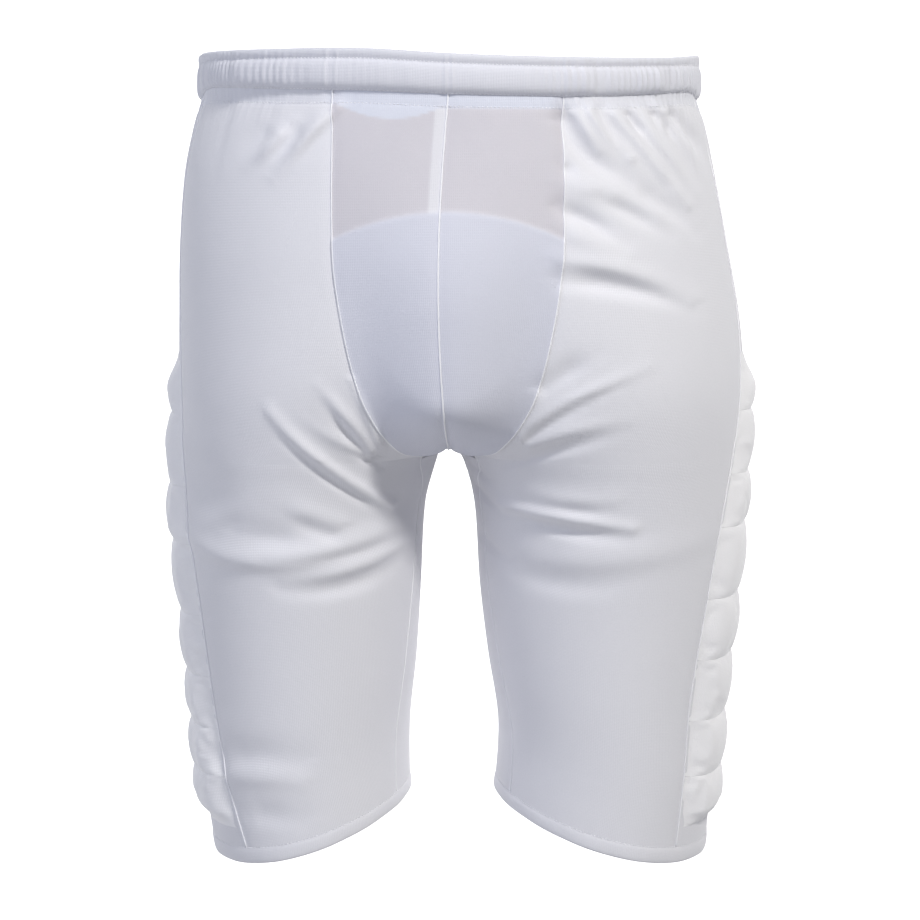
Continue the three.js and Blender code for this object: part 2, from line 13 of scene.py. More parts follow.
import bpy
import numpy as np
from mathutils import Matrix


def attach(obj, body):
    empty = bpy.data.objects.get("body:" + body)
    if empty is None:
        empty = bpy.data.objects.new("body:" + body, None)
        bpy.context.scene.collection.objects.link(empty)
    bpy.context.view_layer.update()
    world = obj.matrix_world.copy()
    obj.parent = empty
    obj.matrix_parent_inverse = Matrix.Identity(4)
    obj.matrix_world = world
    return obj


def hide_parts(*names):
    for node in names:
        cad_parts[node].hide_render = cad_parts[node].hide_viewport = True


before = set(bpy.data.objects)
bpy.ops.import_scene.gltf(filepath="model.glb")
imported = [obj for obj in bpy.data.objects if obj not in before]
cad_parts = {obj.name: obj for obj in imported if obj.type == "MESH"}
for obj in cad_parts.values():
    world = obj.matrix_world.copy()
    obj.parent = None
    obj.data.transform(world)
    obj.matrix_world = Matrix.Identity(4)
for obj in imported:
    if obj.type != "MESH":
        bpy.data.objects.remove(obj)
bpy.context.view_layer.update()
MM = 0.001
print("nodes in the frame:", len(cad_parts))

# %% [markdown]
# ## Camera
#
# The photograph was taken from the front, a little below the waist, looking slightly down, so
# the hems curve down at the front. A long lens about 1.5 m away gives the same frame.

# %% Camera
CAMERA_AWAY = 1500.0
CAMERA_HEIGHT = -60.0
CAMERA_ASIDE = 6.8
CAMERA_DOWN = 6.6
SENSOR = 36.0
LENS = 95.4

camera_data = bpy.data.cameras.new("camera")
camera_data.sensor_width = SENSOR
camera_data.lens = LENS
camera = bpy.data.objects.new("camera", camera_data)
camera.location = (CAMERA_ASIDE * MM, -CAMERA_AWAY * MM, CAMERA_HEIGHT * MM)
camera.rotation_euler = (math.radians(90 - CAMERA_DOWN), 0, 0)
bpy.context.scene.collection.objects.link(camera)
bpy.context.scene.camera = camera

# %% [markdown]
# ## Tables with named columns
#
# The body under the cloth is described by sections at a few levels. A smooth curve through the
# rows of a table gives every level in between. This is a cubic through the rows whose slope at
# each row is that from the row before to the row after.

# %% Tables and a smooth curve through them
def table(columns, text):
    """A table as a dictionary: each named column is an array down the lines of the text."""
    return dict(zip(columns.split(), np.loadtxt(text.strip().splitlines()).T))


def read(rows, column, place, key="at"):
    """A column at any places of its key: cubic Hermite pieces with the slopes of the chords."""
    keys, values = rows[key], rows[column]
    place = np.asarray(place, float)
    i = np.clip(np.searchsorted(keys, place) - 1, 0, len(keys) - 2)
    before = np.maximum(np.arange(len(keys)) - 1, 0)
    after = np.minimum(np.arange(len(keys)) + 1, len(keys) - 1)
    slope = (values[after] - values[before]) / (keys[after] - keys[before])
    length = keys[i + 1] - keys[i]
    t = np.clip((place - keys[i]) / length, 0, 1)
    start, end = values[i], values[i + 1]
    return (
        (2 * t**3 - 3 * t**2 + 1) * start
        + (t**3 - 2 * t**2 + t) * length * slope[i]
        + (3 * t**2 - 2 * t**3) * end
        + (t**3 - t**2) * length * slope[i + 1]
    )


def mix(a, b, share):
    """From a to b by a share."""
    return a + (b - a) * share


def smooth(low, high, value):
    """0 below low, 1 above high, with a smooth step between them."""
    share = np.clip((value - low) / (high - low), 0, 1)
    return share * share * (3 - 2 * share)


def unit(vectors):
    """The same directions with length one."""
    return vectors / np.maximum(np.linalg.norm(vectors, axis=-1, keepdims=True), 1e-9)


# %% [markdown]
# ## The body surface
#
# The sizes are those of the frame. A place on the surface has three values: its side, -1 or +1;
# its level, 0 at the waistband's lower edge, 1 at the crotch and 2 at the leg's edge; and its
# turn round the leg, 0 at the outside and half a turn at the inside, by way of the front when it
# is negative.

# %% Sizes of the shorts
WAIST_WIDTH, WAIST_DEPTH = 300, 208
HIP_WIDTH, HIP_FRONT, HIP_BACK = 350, 118, 134
HEM_SPAN, HEM_GAP, HEM_DEPTH = 308, 55, 160
SWAY = 7
RISE, LEG_LENGTH, HEM_RISE = 211, 250, 35
CROTCH_ROUND, CROTCH_WIDTH, CROTCH_FADE = 40, 9, 48
INSEAM_TURN, INSEAM_LOW, GATHER_FADE = 163, 152, 63
BAND_HEIGHT, BAND_WALL, BAND_SWELL = 27, 3.2, 2.8
POUCH_WIDTH, POUCH_SWELL, CENTRE_BOW = 132, 15, 5.5
LINING_TOP, LINING_ARCH = 65.7, 15.6
CLOTH, LINING_CLOTH, LINING_SEAT, LINING_STOP = 1.5, 1.2, 2.0, 9.5
HEM_HEIGHT = 10
SEAM = 0.3
PAD_TOP, PAD_STOP = 151, 12
BAND_FOOT = -BAND_HEIGHT / 2
CROTCH_Z = BAND_FOOT - RISE

sections = table(
    "at width spread gap front back lean lean_in",
    """
    0 0 0 0 0 0 0 0
    0.08 0.22 0.08 0 0.25 0.22 0.03 0
    0.21 0.46 0.24 0 0.58 0.55 0.08 0
    0.42 0.7 0.48 0 0.92 0.92 0.44 0
    0.62 0.87 0.68 0 1 1.02 0.92 0
    0.82 0.96 0.87 0 1.1 1 1.1 0
    1 1.02 1 0 1.34 1.3 0.9 0
    1.05 1.04 1 0.2 1.42 1.4 0.85 0.1
    1.16 1.1 1 0.46 1.55 1.55 0.8 0.08
    1.4 1.35 1 0.6 1.74 1.76 0.82 0.12
    1.6 1.58 1 0.77 1.86 1.88 0.76 0.3
    1.8 1.74 1 1 1.95 1.96 0.76 0.45
    2 2 1 0.96 2 2 1 0.3
    """,
)
seams = table(
    "at pouch left right back",
    """
    0 1 9 9 10
    0.42 0.99 10 10 14
    0.62 0.9 13 13 20
    0.8 0.75 17 18 27
    0.9 0.59 20 22 31
    0.95 0.46 21 24 33
    0.98 0.35 22 26 35
    1 0.17 23 27 36
    1.15 0.17 29 35 40
    1.3 0.17 33 40 44
    1.6 0.17 39 47 50
    1.8 0.17 47 49 52
    2 0.17 57 51 54
    """,
)
rib_feet = {
    -1: np.array([0.13, 0.28, 0.40, 0.55, 0.68, 0.79, 0.89, 1.00]),
    1: np.array([0.12, 0.25, 0.36, 0.51, 0.64, 0.77, 0.89, 1.00]),
}
SIDE_NAME = {-1: "left", 1: "right"}


# %% The body surface as a function
def along(first, second, third, share):
    """Three sizes mixed by a share that runs 0, 1, 2, with the corner at the second rounded."""
    away = share - 1
    mean, half = (third - first) / 2, (third + first) / 2 - second
    return second + mean * away + half * np.sqrt(away**2 + 0.04**2)


def section(side, at):
    """One half's section at a level: centre and half width across, front and back depth."""
    half = along(WAIST_WIDTH / 2, HIP_WIDTH / 2, HEM_SPAN / 2, read(sections, "width", at))
    outside = half + side * SWAY * read(sections, "lean", at)
    gap = mix(CROTCH_WIDTH, HEM_GAP, read(sections, "gap", at)) / 2
    inside = gap + side * SWAY * read(sections, "lean_in", at)
    centre = (outside + inside) / 2 * read(sections, "spread", at)
    front = along(WAIST_DEPTH / 2, HIP_FRONT, HEM_DEPTH / 2, read(sections, "front", at))
    back = along(WAIST_DEPTH / 2, HIP_BACK, HEM_DEPTH / 2, read(sections, "back", at))
    return centre, outside - centre, front, back


def span(at, inward):
    """How far the cloth still runs straight across between the legs: a quarter circle in the
    middle, where inward is 1, and a soft step at the legs' fronts, where it is 0."""
    reach = (CROTCH_ROUND + CROTCH_FADE * (1 - inward)) / RISE
    share = np.clip((at - 1 + reach) / reach, 0, 1)
    return (1 - share * share) ** mix(2, 0.5, inward)


def level_height(at, turn):
    """Height of a level: straight down, but the legs' edges rise towards their insides."""
    inward = ((1 - np.cos(turn)) / 2) ** 1.5
    below = CROTCH_Z - (at - 1) * (LEG_LENGTH - HEM_RISE * inward)
    return np.where(at < 1, BAND_FOOT - at * RISE, below)


def pouch_half(at):
    """Half of the distance between the pouch's two seams."""
    return mix(CROTCH_WIDTH, POUCH_WIDTH, read(seams, "pouch", at)) / 2


def pouch_lift(x, at):
    """How far the pouch stands out: a bell across, rising and falling down its length."""
    across = np.clip(np.abs(x) / pouch_half(at), 0, 1)
    down = smooth(0.05, 0.6, at) * smooth(-1, -0.84, -at)
    return POUCH_SWELL * (1 - across**2) ** 2 * down


def body(side, at, turn):
    """Points of the smooth surface, as an array whose last axis is x, y, z."""
    at, turn = np.broadcast_arrays(np.asarray(at, float), np.asarray(turn, float))
    centre, width, front, back = section(side, at)
    joined = at <= 1
    past = np.where(joined, np.maximum(np.abs(turn) - np.pi, 0), 0)
    facing = np.where(np.where(joined, turn, np.sin(turn)) < 0, -1, 1)
    depth = np.where(facing < 0, front, back)
    x = np.where(past > 0, centre - width - width * past, centre + width * np.cos(turn))
    swing = np.where(past > 0, 0, np.abs(np.sin(turn)))
    low, high = np.maximum(centre, CROTCH_WIDTH), CROTCH_WIDTH / 2
    share = np.clip((x - low) / (high - low), 0, 1)
    inward = share * share * (3 - 2 * share)
    held = np.where(joined & (np.abs(turn) > np.pi / 2), span(at, inward), 0)
    lift = pouch_lift(x, at) * np.maximum(held, smooth(-1, -0.5, -at))
    y = depth * (held + (1 - held) * swing) + np.where(joined & (facing < 0), lift, 0)
    y = np.where(joined, np.maximum(y, SEAM / 2), y)
    return np.stack([side * x, facing * y, level_height(at, turn)], axis=-1)


def leg_outward(side, at, turn):
    """Level directions that point away from a leg's middle."""
    _, width, front, back = section(side, at)
    depth = np.where(turn < 0, front, back)
    x, y = np.broadcast_arrays(side * np.cos(turn) / width, np.sin(turn) / depth)
    return unit(np.stack([x, y, np.zeros_like(x)], axis=-1))


def turn_at(side, at, x):
    """The turn at which a half's section lies x from the middle plane."""
    centre, width, _, _ = section(side, at)
    inside = centre - width
    share = np.clip((x - centre) / width, -1, 1)
    return np.where(x < inside, np.pi + (inside - x) / width, np.arccos(share))


def front_point(x, at):
    """Points of the front at x from the middle plane, on either side, down to the crotch."""
    at = np.minimum(at, 1)
    left = body(-1, at, -turn_at(-1, at, np.abs(x)))
    right = body(1, at, -turn_at(1, at, np.abs(x)))
    return np.where((x < 0)[..., None], left, right)


# %% [markdown]
# ## Folds
#
# Cloth on a body falls in soft ridges that start at a point that pulls, such as the crotch or the
# gathered waist, and fade out. Each fold is a bent stroke over the front or the back, in
# millimetres seen from there, with a width and a height at its start and its end. Where height is
# negative it is a dent. Simulated cloth would fall in folds of its own, so these strokes follow the
# real pair better.

# %% Strokes for the folds
folds = table(
    "face x0 z0 x1 z1 x2 z2 wide height start end",
    """
    # left leg, from the waistband down
    -1 -63 -20 -84 -39 -100 -60 4.2 3.4 0.6 0.15
    -1 -80 -30 -90 -42 -101 -56 5 -1.5 0.2 0.15
    -1 -90 -28 -101 -43 -117 -54 4.2 2.6 0.2 0.08
    -1 -101 -29 -111 -41 -121 -50 6 -1 0.2 0.15
    # left leg, from the crotch up
    -1 -40 -213 -47 -194 -55 -175 2.6 1.6 1 0.5
    -1 -45 -218 -58 -196 -74 -178 3.6 2.2 1 0.15
    -1 -44 -221 -58 -207 -71 -190 3.6 -2 0.8 0.15
    -1 -45 -220 -63 -213 -85 -196 3.6 1.2 1 0.15
    -1 -39 -228 -50 -221 -60 -214 3 -1.2 0.8 0.15
    -1 -36 -253 -77 -224 -102 -194 3.8 3 0.8 0.4
    -1 -38 -255 -64 -238 -96 -210 3.4 -1.7 0.2 0.15
    -1 -66 -261 -84 -253 -97 -248 6 1.4 1 0.15
    -1 -68 -267 -82 -262 -94 -255 5 -1.1 1 0.15
    # left leg, under the seat of the thigh
    -1 -33 -266 -116 -296 -159 -273 6.5 2.6 0.6 0.4
    -1 -137 -262 -148 -242 -154 -212 16 -2.6 0.4 0.4
    -1 -87 -268 -110 -269 -125 -265 7 -1.4 0.4 0.6
    -1 -30 -278 -57 -292 -95 -293 5 2.2 0.7 0.15
    -1 -41 -276 -69 -282 -108 -283 3.2 -0.8 0.4 0.5
    -1 -36 -291 -65 -304 -98 -299 6 -1.8 0.4 0.4
    # left leg, low down
    -1 -137 -408 -112 -399 -89 -404 9 -1.6 0.4 0.5
    -1 -138 -421 -111 -412 -89 -417 7 1.2 0.4 0.5
    -1 -120 -439 -105 -438 -89 -440 8 -1.4 0.4 0.5
    # right leg, gathers
    -1 73 -24 79 -34 86 -45 3 1.8 1 0.4
    -1 67 -28 76 -58 124 -66 6.2 -3.9 1 0.15
    -1 81 -23 89 -35 105 -49 3.2 1.8 1 0.5
    -1 85 -24 93 -37 101 -46 3 -1.2 1 0.4
    -1 95 -24 116 -48 140 -76 3.4 2 1 0.4
    -1 105 -24 108 -30 116 -38 3 -2.5 1 0.08
    -1 107 -22 120 -38 146 -69 3.2 1.8 1 0.15
    -1 120 -20 125 -29 129 -40 2.6 1.2 1 0.08
    -1 121 -24 129 -30 131 -42 3.4 -2.8 1 0.08
    -1 126 -22 139 -38 149 -59 3 1.6 1 0.08
    -1 133 -25 146 -34 154 -54 4 -2.8 1 0.15
    # right leg, below the gathers
    -1 65 -53 69 -56 75 -58 4 -1.6 0.4 0.15
    -1 65 -63 91 -66 121 -82 7 1.6 0.4 0.5
    -1 105 -67 126 -73 145 -92 5 -2.9 0.4 0.15
    -1 89 -72 107 -81 129 -93 5 -2.5 0.4 0.15
    -1 63 -77 79 -84 102 -97 5 -3.7 0.4 0.15
    -1 65 -88 80 -97 99 -106 7 1.4 0.4 0.4
    -1 63 -106 102 -110 141 -131 5.5 2.2 0.4 0.4
    -1 64 -118 104 -120 142 -134 6 -3.4 0.4 0.15
    # right leg, from the crotch up
    -1 55 -179 69 -169 84 -161 6 -1.8 1 0.15
    -1 42 -209 63 -187 114 -168 4 2.3 1 0.15
    -1 47 -208 68 -190 97 -179 3.6 -2 0.9 0.1
    -1 47 -215 69 -202 104 -199 4 1.8 1 0.15
    -1 34 -226 66 -216 102 -204 4 -1.7 0.8 0.08
    # pouch, a crease at its foot
    -1 8 -217 19 -210 31 -208 2.6 -1.4 0.4 0.15
    # right leg, under the seat of the thigh
    -1 33 -254 66 -257 107 -263 3.8 2.9 0.6 0.4
    -1 47 -260 79 -268 111 -268 5 -1.8 0.4 0.15
    -1 48 -244 76 -250 96 -246 5 1.3 0.4 0.4
    -1 63 -250 77 -254 93 -251 4 -1 0.4 0.15
    -1 50 -282 97 -285 153 -273 9 1.3 0.4 0.4
    -1 37 -291 72 -303 113 -292 8 -1.3 0.4 0.15
    -1 14 -232 22 -238 31 -245 2.6 -1 0.4 0.15
    -1 14 -242 21 -254 34 -257 2.8 -1.3 0.4 0.15
    -1 17 -271 23 -285 43 -287 3.5 -1.2 0.4 0.15
    # seat, plain folds
    1 -20 -205 -60 -222 -110 -228 10 4 1 0.3
    1 20 -205 60 -222 110 -228 10 4 1 0.3
    1 -26 -236 -60 -258 -104 -270 9 3 1 0.2
    1 26 -236 60 -258 104 -270 9 3 1 0.2
    1 -60 -30 -72 -60 -78 -96 8 1.8 1 0.2
    1 60 -30 72 -60 78 -96 8 1.8 1 0.2
    """,
)
STROKE_STEPS = 17
FOLD_SCALE, FOLD_SIDES = 1.3, (0.85, 1.15)


def fold_way(normal, face):
    """The way that folds stand out: level, and forwards where the cloth rounds under."""
    way = normal * (1, 1, 0)
    way[..., 1] += 0.3 * face
    return unit(way)


def fold_lift(points):
    """Height of the folds: for each stroke, a bell of the distance to its bent middle line.

    The bell is narrower on its lower side, as hanging cloth is, and tapers towards the ends.
    """
    x, y, z = points[..., 0].ravel(), points[..., 1].ravel(), points[..., 2].ravel()
    lift = np.zeros_like(x)
    t = np.linspace(0, 1, STROKE_STEPS)[:, None]
    for i in range(len(folds["face"])):
        fold = {name: column[i] for name, column in folds.items()}
        ends = np.array([[fold[f"x{k}"], fold[f"z{k}"]] for k in range(3)])
        line = (1 - t) ** 2 * ends[0] + 2 * t * (1 - t) * ends[1] + t**2 * ends[2]
        low, high = line.min(axis=0) - 3 * fold["wide"], line.max(axis=0) + 3 * fold["wide"]
        near = (x > low[0]) & (x < high[0]) & (z > low[1]) & (z < high[1])
        near &= np.sign(y) == fold["face"]
        if not near.any():
            continue
        offset = np.stack([x[near], z[near]], axis=1)[:, None, :] - line[:-1]
        step = np.diff(line, axis=0)
        share = np.clip((offset * step).sum(axis=2) / (step**2).sum(axis=1), 0, 1)
        away = offset - share[..., None] * step
        nearest = np.linalg.norm(away, axis=2).argmin(axis=1)
        pick = np.arange(len(nearest)), nearest
        where = (nearest + share[pick]) / (STROKE_STEPS - 1)
        height = fold["height"] * mix(fold["start"], 1, smooth(0, 0.3, where))
        height = height * mix(1, fold["end"], smooth(0.45, 1, where))
        wide = fold["wide"] * np.where(away[pick][:, 1] < 0, *FOLD_SIDES)
        lift[near] += height * np.exp(-((np.linalg.norm(away[pick], axis=1) / wide) ** 2))
    lift = FOLD_SCALE * lift.reshape(points.shape[:-1])
    return lift * smooth(SEAM, 12, np.abs(points[..., 0]))


# %% [markdown]
# ## Gathers
#
# The elastic pulls the cloth into many small pleats, close under the waistband and stronger on the
# right. They are waves round the waist of several lengths together, which fade out downwards.

# %% Gathers round the waist
GATHER_DEPTH, PLEAT_DEPTH, PLEAT_FADE = 1.5, 0.65, 22
gathers = table(
    "turn strength fine",
    """
    0 0.7 0.8
    90 0.6 0.7
    180 0.5 0.7
    215 0.4 0.45
    255 0.2 0.15
    288 0.2 0.15
    303 0.9 1
    345 0.9 1
    360 0.7 0.8
    """,
)


def gather_wave(round_turn):
    """A sum of waves round the waist, times the local strength."""
    wave = (
        np.cos(18 * round_turn) + 0.8 * np.cos(31 * round_turn + 1.3)
        + 0.6 * np.cos(47 * round_turn + 4.0) + 0.4 * np.cos(71 * round_turn + 2.2)
    )
    degrees = np.degrees(round_turn) % 360
    return GATHER_DEPTH * 0.5 * wave * read(gathers, "strength", degrees, "turn")


def pleat_wave(round_turn):
    """Narrow pleats about 5 mm apart, made uneven by slower waves of their place and height."""
    place = 168 * round_turn + 2.6 * np.sin(7 * round_turn) + 1.8 * np.sin(17 * round_turn + 1)
    height = 0.65 + 0.35 * np.sin(11 * round_turn + 2) * np.sin(5 * round_turn)
    degrees = np.degrees(round_turn) % 360
    return PLEAT_DEPTH * height * np.sin(place) * read(gathers, "fine", degrees, "turn")


def ruffle(side, at, turn):
    """The gathers on the panels: as low as the band's at its foot, then full, then fading out."""
    round_turn = turn if side > 0 else np.pi - turn
    grow = 0.4 + 0.6 * smooth(0, 12 / RISE, at)
    fade = smooth(-GATHER_FADE / RISE, 0, -at) ** 1.3
    pleats = pleat_wave(round_turn) * smooth(-PLEAT_FADE / RISE, 0, -at)
    return gather_wave(round_turn) * grow * fade + pleats


# %% [markdown]
# ## The waistline
#
# The waistband isn't quite level: it dips on the right of the front, and its foot rises on the
# left. A second row of stitches runs on the panels 7 mm under its foot, where the band's inner
# facing ends, and the cloth is tinted where that facing backs it.

# %% Dips of the waistband at the front
waistline = table(
    "x top foot row",
    """
    -150 1 7 6
    -100 0.5 4.2 3.7
    -50 0 2.6 3
    0 -3.2 0.4 0.7
    45 -4.6 -0.6 0.2
    90 -4.6 -0.2 0.4
    125 -3.5 2.2 2.4
    150 -1 5 5
    """,
)
ROW_BELOW, ROW_DIP, ROW_DIP_WIDE = 7.0, 0.35, 1.1


def waist_shift(points, column):
    """How far the band's top or foot is raised, at the front only, by the table above."""
    front = smooth(0, 0.4, -points[..., 1] / (WAIST_DEPTH / 2))
    return read(waistline, column, np.clip(points[..., 0], -150, 150), "x") * front


def row_height(points):
    """Height of the second row of stitches."""
    return BAND_FOOT + waist_shift(points, "row") - ROW_BELOW


def facing(points):
    """1 where the band's facing backs the cloth: down to the row, lower in the left pouch."""
    low = row_height(points) - 0.5
    bulge = np.clip(1 - ((points[..., 0] + 34) / 30) ** 2, 0, 1) * (points[..., 1] < 0)
    strength = mix(1, 0.3, smooth(55, 75, np.abs(points[..., 0])))
    return smooth(-0.7, 0.7, points[..., 2] - low + 8 * bulge) * strength


def row_dip(points):
    """The row of stitches presses a shallow groove."""
    return -ROW_DIP * np.exp(-(((points[..., 2] - row_height(points)) / ROW_DIP_WIDE) ** 2))


# %% [markdown]
# ## From grids of points to closed cloth
#
# A panel of cloth is a grid of points for its outer face, a second grid one wall further in, and a
# rim round the edge. The outward direction comes from the differences between neighbouring
# points. The UV map holds the arc lengths along the grid in metres, so a knit drawn on it keeps
# its scale on every piece.

# %% Mesh builders
def mesh_object(name, points, faces, uv=None):
    """An object from points in millimetres and faces, smooth shaded, at the origin."""
    mesh = bpy.data.meshes.new(name)
    mesh.from_pydata((np.asarray(points).reshape(-1, 3) * MM).tolist(), [], faces)
    mesh.update()
    mesh.shade_smooth()
    if uv is not None:
        corners = np.empty(len(mesh.loops), np.int32)
        mesh.loops.foreach_get("vertex_index", corners)
        layer = mesh.uv_layers.new(name="cloth")
        layer.data.foreach_set("uv", (np.asarray(uv).reshape(-1, 2)[corners] * MM).ravel())
    obj = bpy.data.objects.new(name, mesh)
    bpy.context.scene.collection.objects.link(obj)
    return obj


def add_attribute(obj, name, values):
    """A number for each point of a panel's outer grid, and the same again for its inner one."""
    layer = obj.data.attributes.new(name, "FLOAT", "POINT")
    layer.data.foreach_set("value", np.tile(np.asarray(values, np.float32).ravel(), 2))


def normals_of(points):
    """Unit normals of a grid from the differences along its rows and its columns."""
    return unit(np.cross(np.gradient(points, axis=0), np.gradient(points, axis=1)))


def outward_of(points):
    """Unit normals that point away from the middle line, judged high up where that is plain."""
    normal = normals_of(points)
    high = len(points) // 3
    return normal if (normal[high] * points[high] * (1, 1, 0)).sum() > 0 else -normal


def row_arcs(points):
    """Arc length along each row of a grid, from the row's first point."""
    steps = np.linalg.norm(np.diff(points, axis=1), axis=-1)
    return np.concatenate([np.zeros((len(points), 1)), np.cumsum(steps, axis=1)], axis=1)


def arc_lengths(points):
    """UV in millimetres: arc length across from the middle column, and mean arc length down."""
    across = row_arcs(points)
    across -= across[:, points.shape[1] // 2][:, None]
    down = np.linalg.norm(np.diff(points, axis=0), axis=-1).mean(axis=1)
    down = np.concatenate([[0], np.cumsum(down)])
    return np.stack([across, np.broadcast_to(-down[:, None], across.shape)], axis=-1)


def grid_faces(rows, columns, offset=0, turned=False):
    """Quads of a grid whose points are numbered row by row from offset."""
    start = (np.arange(rows - 1)[:, None] * columns + np.arange(columns - 1)).ravel() + offset
    quads = np.stack([start, start + columns, start + columns + 1, start + 1], axis=1)
    return quads[:, ::-1] if turned else quads


def border_of(rows, columns):
    """Whether each point of a grid lies on its edge, row by row."""
    row, column = np.indices((rows, columns))
    return ((row == 0) | (row == rows - 1) | (column == 0) | (column == columns - 1)).ravel()


def rim_faces(rows, columns):
    """Quads that join the edges of two grids of the same size, the second after the first."""
    top = np.arange(columns)
    right = np.arange(rows) * columns + columns - 1
    edge = np.concatenate([top[:-1], right[:-1], top[::-1][:-1] + (rows - 1) * columns,
                           (right - columns + 1)[::-1][:-1]])
    after = np.roll(edge, -1)
    below = rows * columns
    return np.stack([edge, after, after + below, edge + below], axis=1)


def shell(name, outer, inner, uv):
    """A closed solid between two grids, with its faces pointing out."""
    rows, columns = outer.shape[:2]
    faces = np.concatenate([
        grid_faces(rows, columns),
        grid_faces(rows, columns, rows * columns, turned=True),
        rim_faces(rows, columns),
    ])
    points = np.concatenate([outer.reshape(-1, 3), inner.reshape(-1, 3)])
    if volume(points, faces) < 0:
        faces = faces[:, ::-1]
    obj = mesh_object(name, points, faces.tolist(), np.concatenate([uv.reshape(-1, 2)] * 2))
    keep_edges(obj, rows, columns)
    print(f"{name}: {len(faces)} faces, {rows} rows by {columns} columns")
    return obj


def keep_edges(obj, rows, columns):
    """Marks both grids' outer edges as sharp, so that no shading or subdivision rounds them."""
    border = np.tile(border_of(rows, columns), 2)
    ends = np.empty(2 * len(obj.data.edges), np.int32)
    obj.data.edges.foreach_get("vertices", ends)
    a, b = ends[::2], ends[1::2]
    edge = border[a] & border[b] & ((a < rows * columns) == (b < rows * columns))
    sharp = obj.data.attributes.new("sharp_edge", "BOOLEAN", "EDGE")
    sharp.data.foreach_set("value", edge)
    crease = obj.data.attributes.new("crease_edge", "FLOAT", "EDGE")
    crease.data.foreach_set("value", edge.astype(np.float32))


def volume(points, faces):
    """Signed volume of a closed mesh of quads: positive where its faces point out."""
    a, b, c, d = (points[faces[:, i]] for i in range(4))
    return (a * (np.cross(b, c) + np.cross(c, d))).sum()


def loop_faces(count, size, closed):
    """Quads between neighbouring loops; closed joins the last loop to the first."""
    i, j = np.indices((count if closed else count - 1, size))
    after_i, after_j = (i + 1) % count, (j + 1) % size
    corners = [i * size + j, after_i * size + j, after_i * size + after_j, i * size + after_j]
    return np.stack(corners, axis=-1).reshape(-1, 4)


def round_length(points):
    """Arc lengths along a closed line, the last of which is its whole length."""
    return np.cumsum(np.linalg.norm(np.diff(points, axis=0, append=points[:1]), axis=-1))


def ring(name, loops, uv):
    """A closed ring: loops run round it, and each loop closes on itself."""
    count, size = loops.shape[:2]
    faces = loop_faces(count, size, closed=True)
    points = loops.reshape(-1, 3)
    if volume(points, faces) < 0:
        faces = faces[:, ::-1]
    obj = mesh_object(name, points, faces.tolist(), uv)
    print(f"{name}: {len(faces)} faces")
    return obj


# %% [markdown]
# ## Materials
#
# All the cloth is one white polyester knit. Close up it is rows of tiny stitches, so a node group
# draws a fine rib with cross rows from the UV map and gives its height and a little colour
# change. A second group gives the slow changes of tone that a big piece of cloth has. The
# Principled shader itself stays in each material, with a soft sheen.

# %% Node group for the knit
def group(name, inputs, outputs):
    """A shader node group with its two end nodes; inputs gives each number's default value."""
    tree = bpy.data.node_groups.new(name, "ShaderNodeTree")
    for socket, value in inputs.items():
        made = tree.interface.new_socket(socket, in_out="INPUT", socket_type="NodeSocketFloat")
        made.default_value = value
    for socket in outputs:
        tree.interface.new_socket(socket, in_out="OUTPUT", socket_type="NodeSocketFloat")
    return tree, tree.nodes.new("NodeGroupInput"), tree.nodes.new("NodeGroupOutput")


def set_inputs(node, values):
    """Sets a node's inputs by name."""
    for name, value in values.items():
        node.inputs[name].default_value = value


def math_node(tree, operation, *values):
    """A Math node fed by sockets or numbers; gives its output socket."""
    node = tree.nodes.new("ShaderNodeMath")
    node.operation = operation
    for socket, value in zip(node.inputs, values):
        if isinstance(value, (int, float)):
            socket.default_value = value
        else:
            tree.links.new(value, socket)
    return node.outputs[0]


def make_knit():
    """Height = wales across times courses down, with noise; both are sine waves of the UV map."""
    tree, given, result = group(
        "knit", {"Wale": 1.1, "Course": 0.9, "Noise": 0.35}, ["Height", "Mask", "Grain"]
    )
    uv = tree.nodes.new("ShaderNodeUVMap")
    uv.uv_map = "cloth"
    parts = tree.nodes.new("ShaderNodeSeparateXYZ")
    tree.links.new(uv.outputs[0], parts.inputs[0])
    waves = []
    for axis, pitch in ((0, "Wale"), (1, "Course")):
        length = math_node(tree, "MULTIPLY", given.outputs[pitch], MM / (2 * math.pi))
        angle = math_node(tree, "DIVIDE", parts.outputs[axis], length)
        wave = math_node(tree, "SINE", angle)
        waves.append(math_node(tree, "MULTIPLY_ADD", wave, 0.5, 0.5))
    noise = tree.nodes.new("ShaderNodeTexNoise")
    set_inputs(noise, {"Scale": 900.0, "Detail": 2.0})
    tree.links.new(uv.outputs[0], noise.inputs["Vector"])
    weave = math_node(tree, "MULTIPLY", waves[0], waves[1])
    grain = math_node(tree, "MULTIPLY", noise.outputs[0], given.outputs["Noise"])
    height = math_node(tree, "ADD", weave, grain)
    tree.links.new(height, result.inputs["Height"])
    tree.links.new(weave, result.inputs["Mask"])
    tree.links.new(noise.outputs[0], result.inputs["Grain"])
    return tree


def make_tone():
    """Slow changes of tone: soft noise on Object coordinates, as a mask 0 to 1."""
    tree, given, result = group("cloth_tone", {"Size": 14.0}, ["Mask"])
    place = tree.nodes.new("ShaderNodeTexCoord")
    noise = tree.nodes.new("ShaderNodeTexNoise")
    set_inputs(noise, {"Detail": 3.0, "Roughness": 0.55})
    tree.links.new(place.outputs["Object"], noise.inputs["Vector"])
    tree.links.new(given.outputs["Size"], noise.inputs["Scale"])
    tree.links.new(noise.outputs[0], result.inputs["Mask"])
    return tree


knit_group = make_knit()
tone_group = make_tone()


